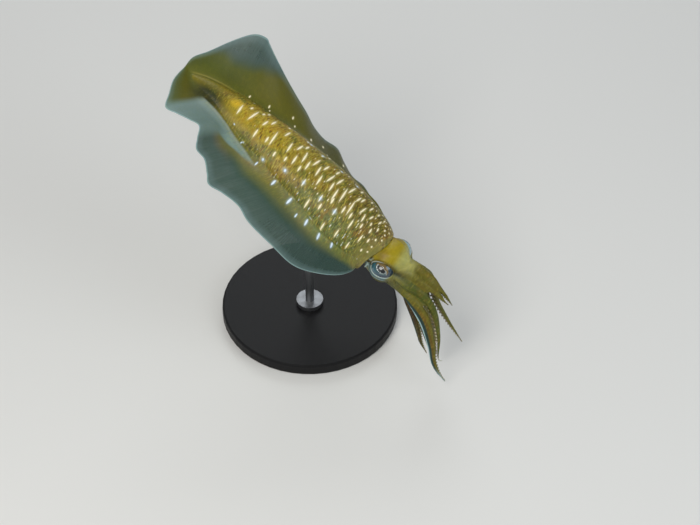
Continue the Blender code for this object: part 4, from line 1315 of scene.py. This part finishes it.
class Nodes:
    """Short ways to add and link the nodes of a material."""

    def __init__(self, made):
        self.tree = made.node_tree
        self.shader = self.tree.nodes["Principled BSDF"]
        self.place = self.scaled(self.add("TexCoord").outputs["Object"], (1000, 1000, 1000))

    def add(self, kind, values=(), **settings):
        node = self.tree.nodes.new("ShaderNode" + kind)
        for key, value in settings.items():
            setattr(node, key, value)
        for key, value in dict(values).items():
            self.put(node.inputs[key], value)
        return node

    def put(self, socket, value):
        if isinstance(value, bpy.types.NodeSocket):
            self.tree.links.new(value, socket)
        else:
            socket.default_value = value

    def look(self, **values):
        """Links values to the shader's own inputs."""
        for key, value in values.items():
            self.put(self.shader.inputs[key.replace("_", " ")], value)

    def point(self, name, output="Fac"):
        return self.add("Attribute", attribute_name=name).outputs[output]

    def scaled(self, vector, scale):
        return self.add("Mapping", {"Vector": vector, "Scale": scale}).outputs["Vector"]

    def noise(self, vector, scale, detail=3.0, roughness=0.55):
        values = {"Vector": vector, "Scale": scale, "Detail": detail, "Roughness": roughness}
        return self.add("TexNoise", values).outputs["Fac"]

    def spread(self, value, low, high, to_low=0.0, to_high=1.0):
        """A value between low and high, smoothly stretched to another range."""
        values = {"Value": value, "From Min": low, "From Max": high, "To Min": to_low, "To Max": to_high}
        return self.add("MapRange", values, interpolation_type="SMOOTHSTEP").outputs["Result"]

    def math(self, operation, a, b=0.5, c=0.5):
        return self.add("Math", {0: a, 1: b, 2: c}, operation=operation).outputs["Value"]

    def times(self, a, b):
        return self.math("MULTIPLY", a, b)

    def rest(self, value):
        return self.math("SUBTRACT", 1.0, value)

    def mix(self, share, a, b, blend="MIX"):
        node = self.add("Mix", {"Factor": share}, data_type="RGBA", blend_type=blend)
        for socket, value in ((node.inputs[6], a), (node.inputs[7], b)):
            self.put(socket, (*value, 1.0) if isinstance(value, (tuple, np.ndarray)) else value)
        return node.outputs[2]

    def mix_value(self, share, a, b):
        node = self.add("Mix", {"Factor": share}, data_type="FLOAT")
        self.put(node.inputs[2], a)
        self.put(node.inputs[3], b)
        return node.outputs[0]

    def bump(self, height, distance, strength=1.0, normal=None):
        values = {"Height": height, "Distance": distance, "Strength": strength}
        if normal:
            values["Normal"] = normal
        return self.add("Bump", values).outputs["Normal"]


def skin_material():
    """Wet skin: ground colour, mottling, streaks, chromatophores and pale marks with a halo."""
    made = material(
        "squid_skin", roughness=0.32, specular_ior_level=0.28, coat_weight=0.07, coat_roughness=0.22,
        subsurface_weight=0.1, subsurface_radius=(0.9, 0.7, 0.35), subsurface_scale=0.002,
    )
    n = Nodes(made)
    streak = n.point("streak", "Vector")
    fleck, pearl, clear = n.point("fleck"), n.point("pearl"), n.point("clear")
    solid = n.rest(clear)
    broad, patches = n.noise(n.place, 0.11, 3.0), n.noise(n.place, 0.075, 2.0)
    across = n.noise(n.scaled(streak, (0.62, 0.16, 0.16)), 1.0, 4.0, 0.6)
    streaks = n.noise(n.scaled(streak, (1.2, 0.24, 0.24)), 1.0, 3.0, 0.6)
    fibres = n.noise(n.scaled(streak, (1.6, 0.06, 0.06)), 1.0, 2.0)
    soft = n.noise(n.place, 0.32, 4.0, 0.6)

    colour = n.point("paint", "Color")
    for value, low, high, where, share, laid, blend in (
        (broad, 0.45, 0.68, fleck, 0.45, (0.6, 0.82, 0.62), "MULTIPLY"),
        (patches, 0.5, 0.66, fleck, 0.7, linear(92, 104, 36), "MIX"),
        (patches, 0.47, 0.34, fleck, 0.22, linear(146, 96, 24), "MIX"),
        (across, 0.5, 0.64, fleck, 0.42, linear(140, 88, 18), "MIX"),
        (streaks, 0.52, 0.66, fleck, 0.6, linear(196, 180, 78), "MIX"),
        (streaks, 0.47, 0.32, fleck, 0.8, linear(52, 42, 10), "MIX"),
        (soft, 0.42, 0.7, solid, 0.3, (1.5, 1.35, 0.8), "MULTIPLY"),
        (fibres, 0.4, 0.7, clear, 0.04, linear(176, 200, 192), "MIX"),
        (soft, 0.35, 0.65, clear, 0.22, (0.55, 0.62, 0.6), "MULTIPLY"),
    ):
        amount = n.times(n.times(n.spread(value, low, high), where), share)
        colour = n.mix(amount, colour, laid, blend)

    for cell, size, share, paint in CHROMATOPHORES:
        dots = n.add("TexVoronoi", {"Vector": n.place, "Scale": 1 / cell, "Randomness": 0.9})
        chance = n.add("SeparateColor", {"Color": dots.outputs["Color"]}).outputs["Red"]
        limit = n.times(n.spread(chance, 0.25, 1.0), size)
        inside = n.spread(n.math("SUBTRACT", dots.outputs["Distance"], limit), 0.05, -0.05)
        colour = n.mix(n.times(inside, n.times(fleck, share)), colour, linear(*paint))

    halo = n.mix(n.point("cool"), linear(214, 204, 140), linear(172, 200, 218))
    colour = n.mix(n.times(n.spread(n.point("glow"), 0.15, 1.0), 0.5), colour, halo)
    core = n.spread(pearl, 0.08, 0.42)
    colour = n.mix(core, colour, n.mix(n.point("cool"), linear(250, 240, 206), linear(214, 232, 248)))

    wrinkle = n.noise(n.place, 0.9, 4.0, 0.6)
    height = n.times(n.math("ADD", n.times(wrinkle, 0.35), n.times(across, 0.45)), solid)
    height = n.math("ADD", height, n.times(n.spread(pearl, 0.0, 0.6), 0.5))
    n.look(
        Base_Color=colour,
        Roughness=n.mix_value(core, n.spread(wrinkle, 0.3, 0.7, 0.42, 0.6), 0.22),
        Normal=n.bump(height, 0.0004, 0.7),
        Alpha=n.rest(n.times(clear, 0.2)),
    )
    return made


def sucker_material():
    made = material(
        "sucker", roughness=0.3, coat_weight=0.3, subsurface_weight=0.15, subsurface_scale=0.001
    )
    n = Nodes(made)
    grain = n.noise(n.place, 2.5)
    colour = n.mix(n.spread(n.point("rim"), 0.0, 1.0), linear(98, 90, 40), linear(240, 232, 204))
    colour = n.mix(n.spread(grain, 0.5, 0.75, 0.0, 0.4), colour, linear(150, 120, 70))
    n.look(Base_Color=colour, Normal=n.bump(grain, 0.0001, 0.5))
    return made


def banded_material(name, roughness, bands, colours, rough, bump, **inputs):
    """A material with fine bands of two colours and two roughnesses."""
    made = material(name, roughness=roughness, **inputs)
    n = Nodes(made)
    grain = n.noise(n.scaled(n.place, bands[0]), *bands[1:])
    n.look(
        Base_Color=n.mix(grain, linear(*colours[0]), linear(*colours[1])),
        Roughness=n.spread(grain, 0.3, 0.7, *rough),
        Normal=n.bump(grain, *bump),
    )
    return made


def beak_material():
    return banded_material(
        "beak", 0.22, ((0.4, 2.2, 2.2), 1.0, 4.0), ((26, 14, 8), (96, 54, 24)), (0.18, 0.34), (0.0001, 0.6)
    )


def stand_materials():
    """A satin black base and a brushed steel rod for the two nodes of the stand."""
    base = material("stand_base_satin", roughness=0.4, specular_ior_level=0.22)
    n = Nodes(base)
    grain = n.noise(n.place, 0.8, 5.0, 0.65)
    n.look(
        Base_Color=n.mix(grain, linear(9, 9, 10), linear(19, 19, 21)),
        Roughness=n.spread(grain, 0.3, 0.7, 0.4, 0.55),
        Normal=n.bump(n.noise(n.place, 3.0, 2.0), 0.00008, 0.5),
    )
    rod = banded_material(
        "stand_rod_brushed", 0.3, ((0.25, 0.25, 9.0), 1.0, 3.0), ((112, 114, 117), (158, 160, 163)),
        (0.36, 0.52), (0.00004, 0.5), metallic=1.0,
    )
    for node, finish in (("stand_base", base), ("stand_rod", rod)):
        mesh = bpy.data.objects[node].data
        mesh.materials.clear()
        mesh.materials.append(finish)


def eye_material():
    """The eyeball under its clear, wet surface."""
    made = material("eye", roughness=0.16, coat_weight=1.0, coat_roughness=0.02)
    n = Nodes(made)
    grain = n.noise(n.place, 1.6, 4.0)
    n.look(
        Base_Color=n.mix(n.spread(grain, 0.4, 0.8, 0.0, 0.35), n.point("paint", "Color"), linear(10, 26, 34)),
        Metallic=n.times(n.point("silver"), 0.7),
        Roughness=n.spread(grain, 0.3, 0.7, 0.14, 0.26),
    )
    return made


# Studio


def area_light(name, place, size, power, colour):
    data = bpy.data.lights.new(name, "AREA")
    data.shape = "DISK"
    data.size = size
    data.energy = power
    data.color = colour
    made = new_object(name, data)
    made.location = place
    made.rotation_euler = (Vector(LIGHTS_AIM) - Vector(place)).to_track_quat("-Z", "Y").to_euler()


def make_studio():
    """A pale floor under soft lights, seen from the photo's angle."""
    corners = np.array(((-1, -1, 0), (1, -1, 0), (-1, 1, 0), (1, 1, 0))) * FLOOR_SIZE
    floor = new_object("floor", new_mesh("floor", corners, [grid_faces(2, 2, False)]))
    floor.data.materials.append(material("floor", (0.72, 0.72, 0.7), 0.9))

    world = bpy.data.worlds.new("studio")
    bpy.context.scene.world = world
    world.use_nodes = True
    background = world.node_tree.nodes["Background"]
    background.inputs["Color"].default_value = (0.93, 0.96, 1.0, 1.0)
    background.inputs["Strength"].default_value = 0.35
    for light in LIGHTS:
        area_light(*light)

    camera = new_object("camera", bpy.data.cameras.new("camera"))
    camera.location = Vector(CAMERA_PLACE) * MM
    flat = math.cos(CAMERA_ELEVATION)
    back = Vector((
        math.sin(CAMERA_AZIMUTH) * flat, -math.cos(CAMERA_AZIMUTH) * flat, math.sin(CAMERA_ELEVATION),
    ))
    camera.rotation_euler = (-back).to_track_quat("-Z", "Y").to_euler()
    camera.data.lens = CAMERA_LENS
    camera.data.sensor_width = CAMERA_SENSOR
    camera.data.clip_start = 0.05
    camera.data.clip_end = 20.0
    bpy.context.scene.camera = camera
    view = bpy.context.scene.view_settings
    view.view_transform = "Standard"
    view.look = "None"


def main():
    for old in list(bpy.data.objects):
        bpy.data.objects.remove(old)
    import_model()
    make_studio()
    limbs = all_limbs()
    skin, places = make_body_skin()
    head, head_points = make_head_skin(limbs)
    paint_body(skin.data, places)
    paint_head(head.data, head_points, limbs)
    suckers = make_suckers(limbs)
    beak = make_beak()
    eyes = {side: make_eye(sign, side) for sign, side in ((1, "left"), (-1, "right"))}
    for made in (skin, head, suckers, beak, *eyes.values()):
        settle(made)
    flesh, eye_finish = skin_material(), eye_material()
    clothe(skin, flesh, "mantle", "mantle", *[
        f"fin_{side}_{length}" for side in FIN_RAYS for length in ("rear", "front")
    ])
    soft = ["head", "funnel", "mouth"]
    for side in FIN_RAYS:
        soft += [f"arm_{side}_{pair}_{length}" for pair in ARM_PAIRS for length in ("root", "tip")]
        soft += [f"tentacle_{side}_{length}" for length in ("stalk", "club")]
    clothe(head, flesh, "head", *soft)
    clothe(suckers, sucker_material(), "arm")
    clothe(beak, beak_material(), "beak", "beak")
    for side, made in eyes.items():
        clothe(made, eye_finish, "eye", f"eye_{side}")
    stand_materials()


main()
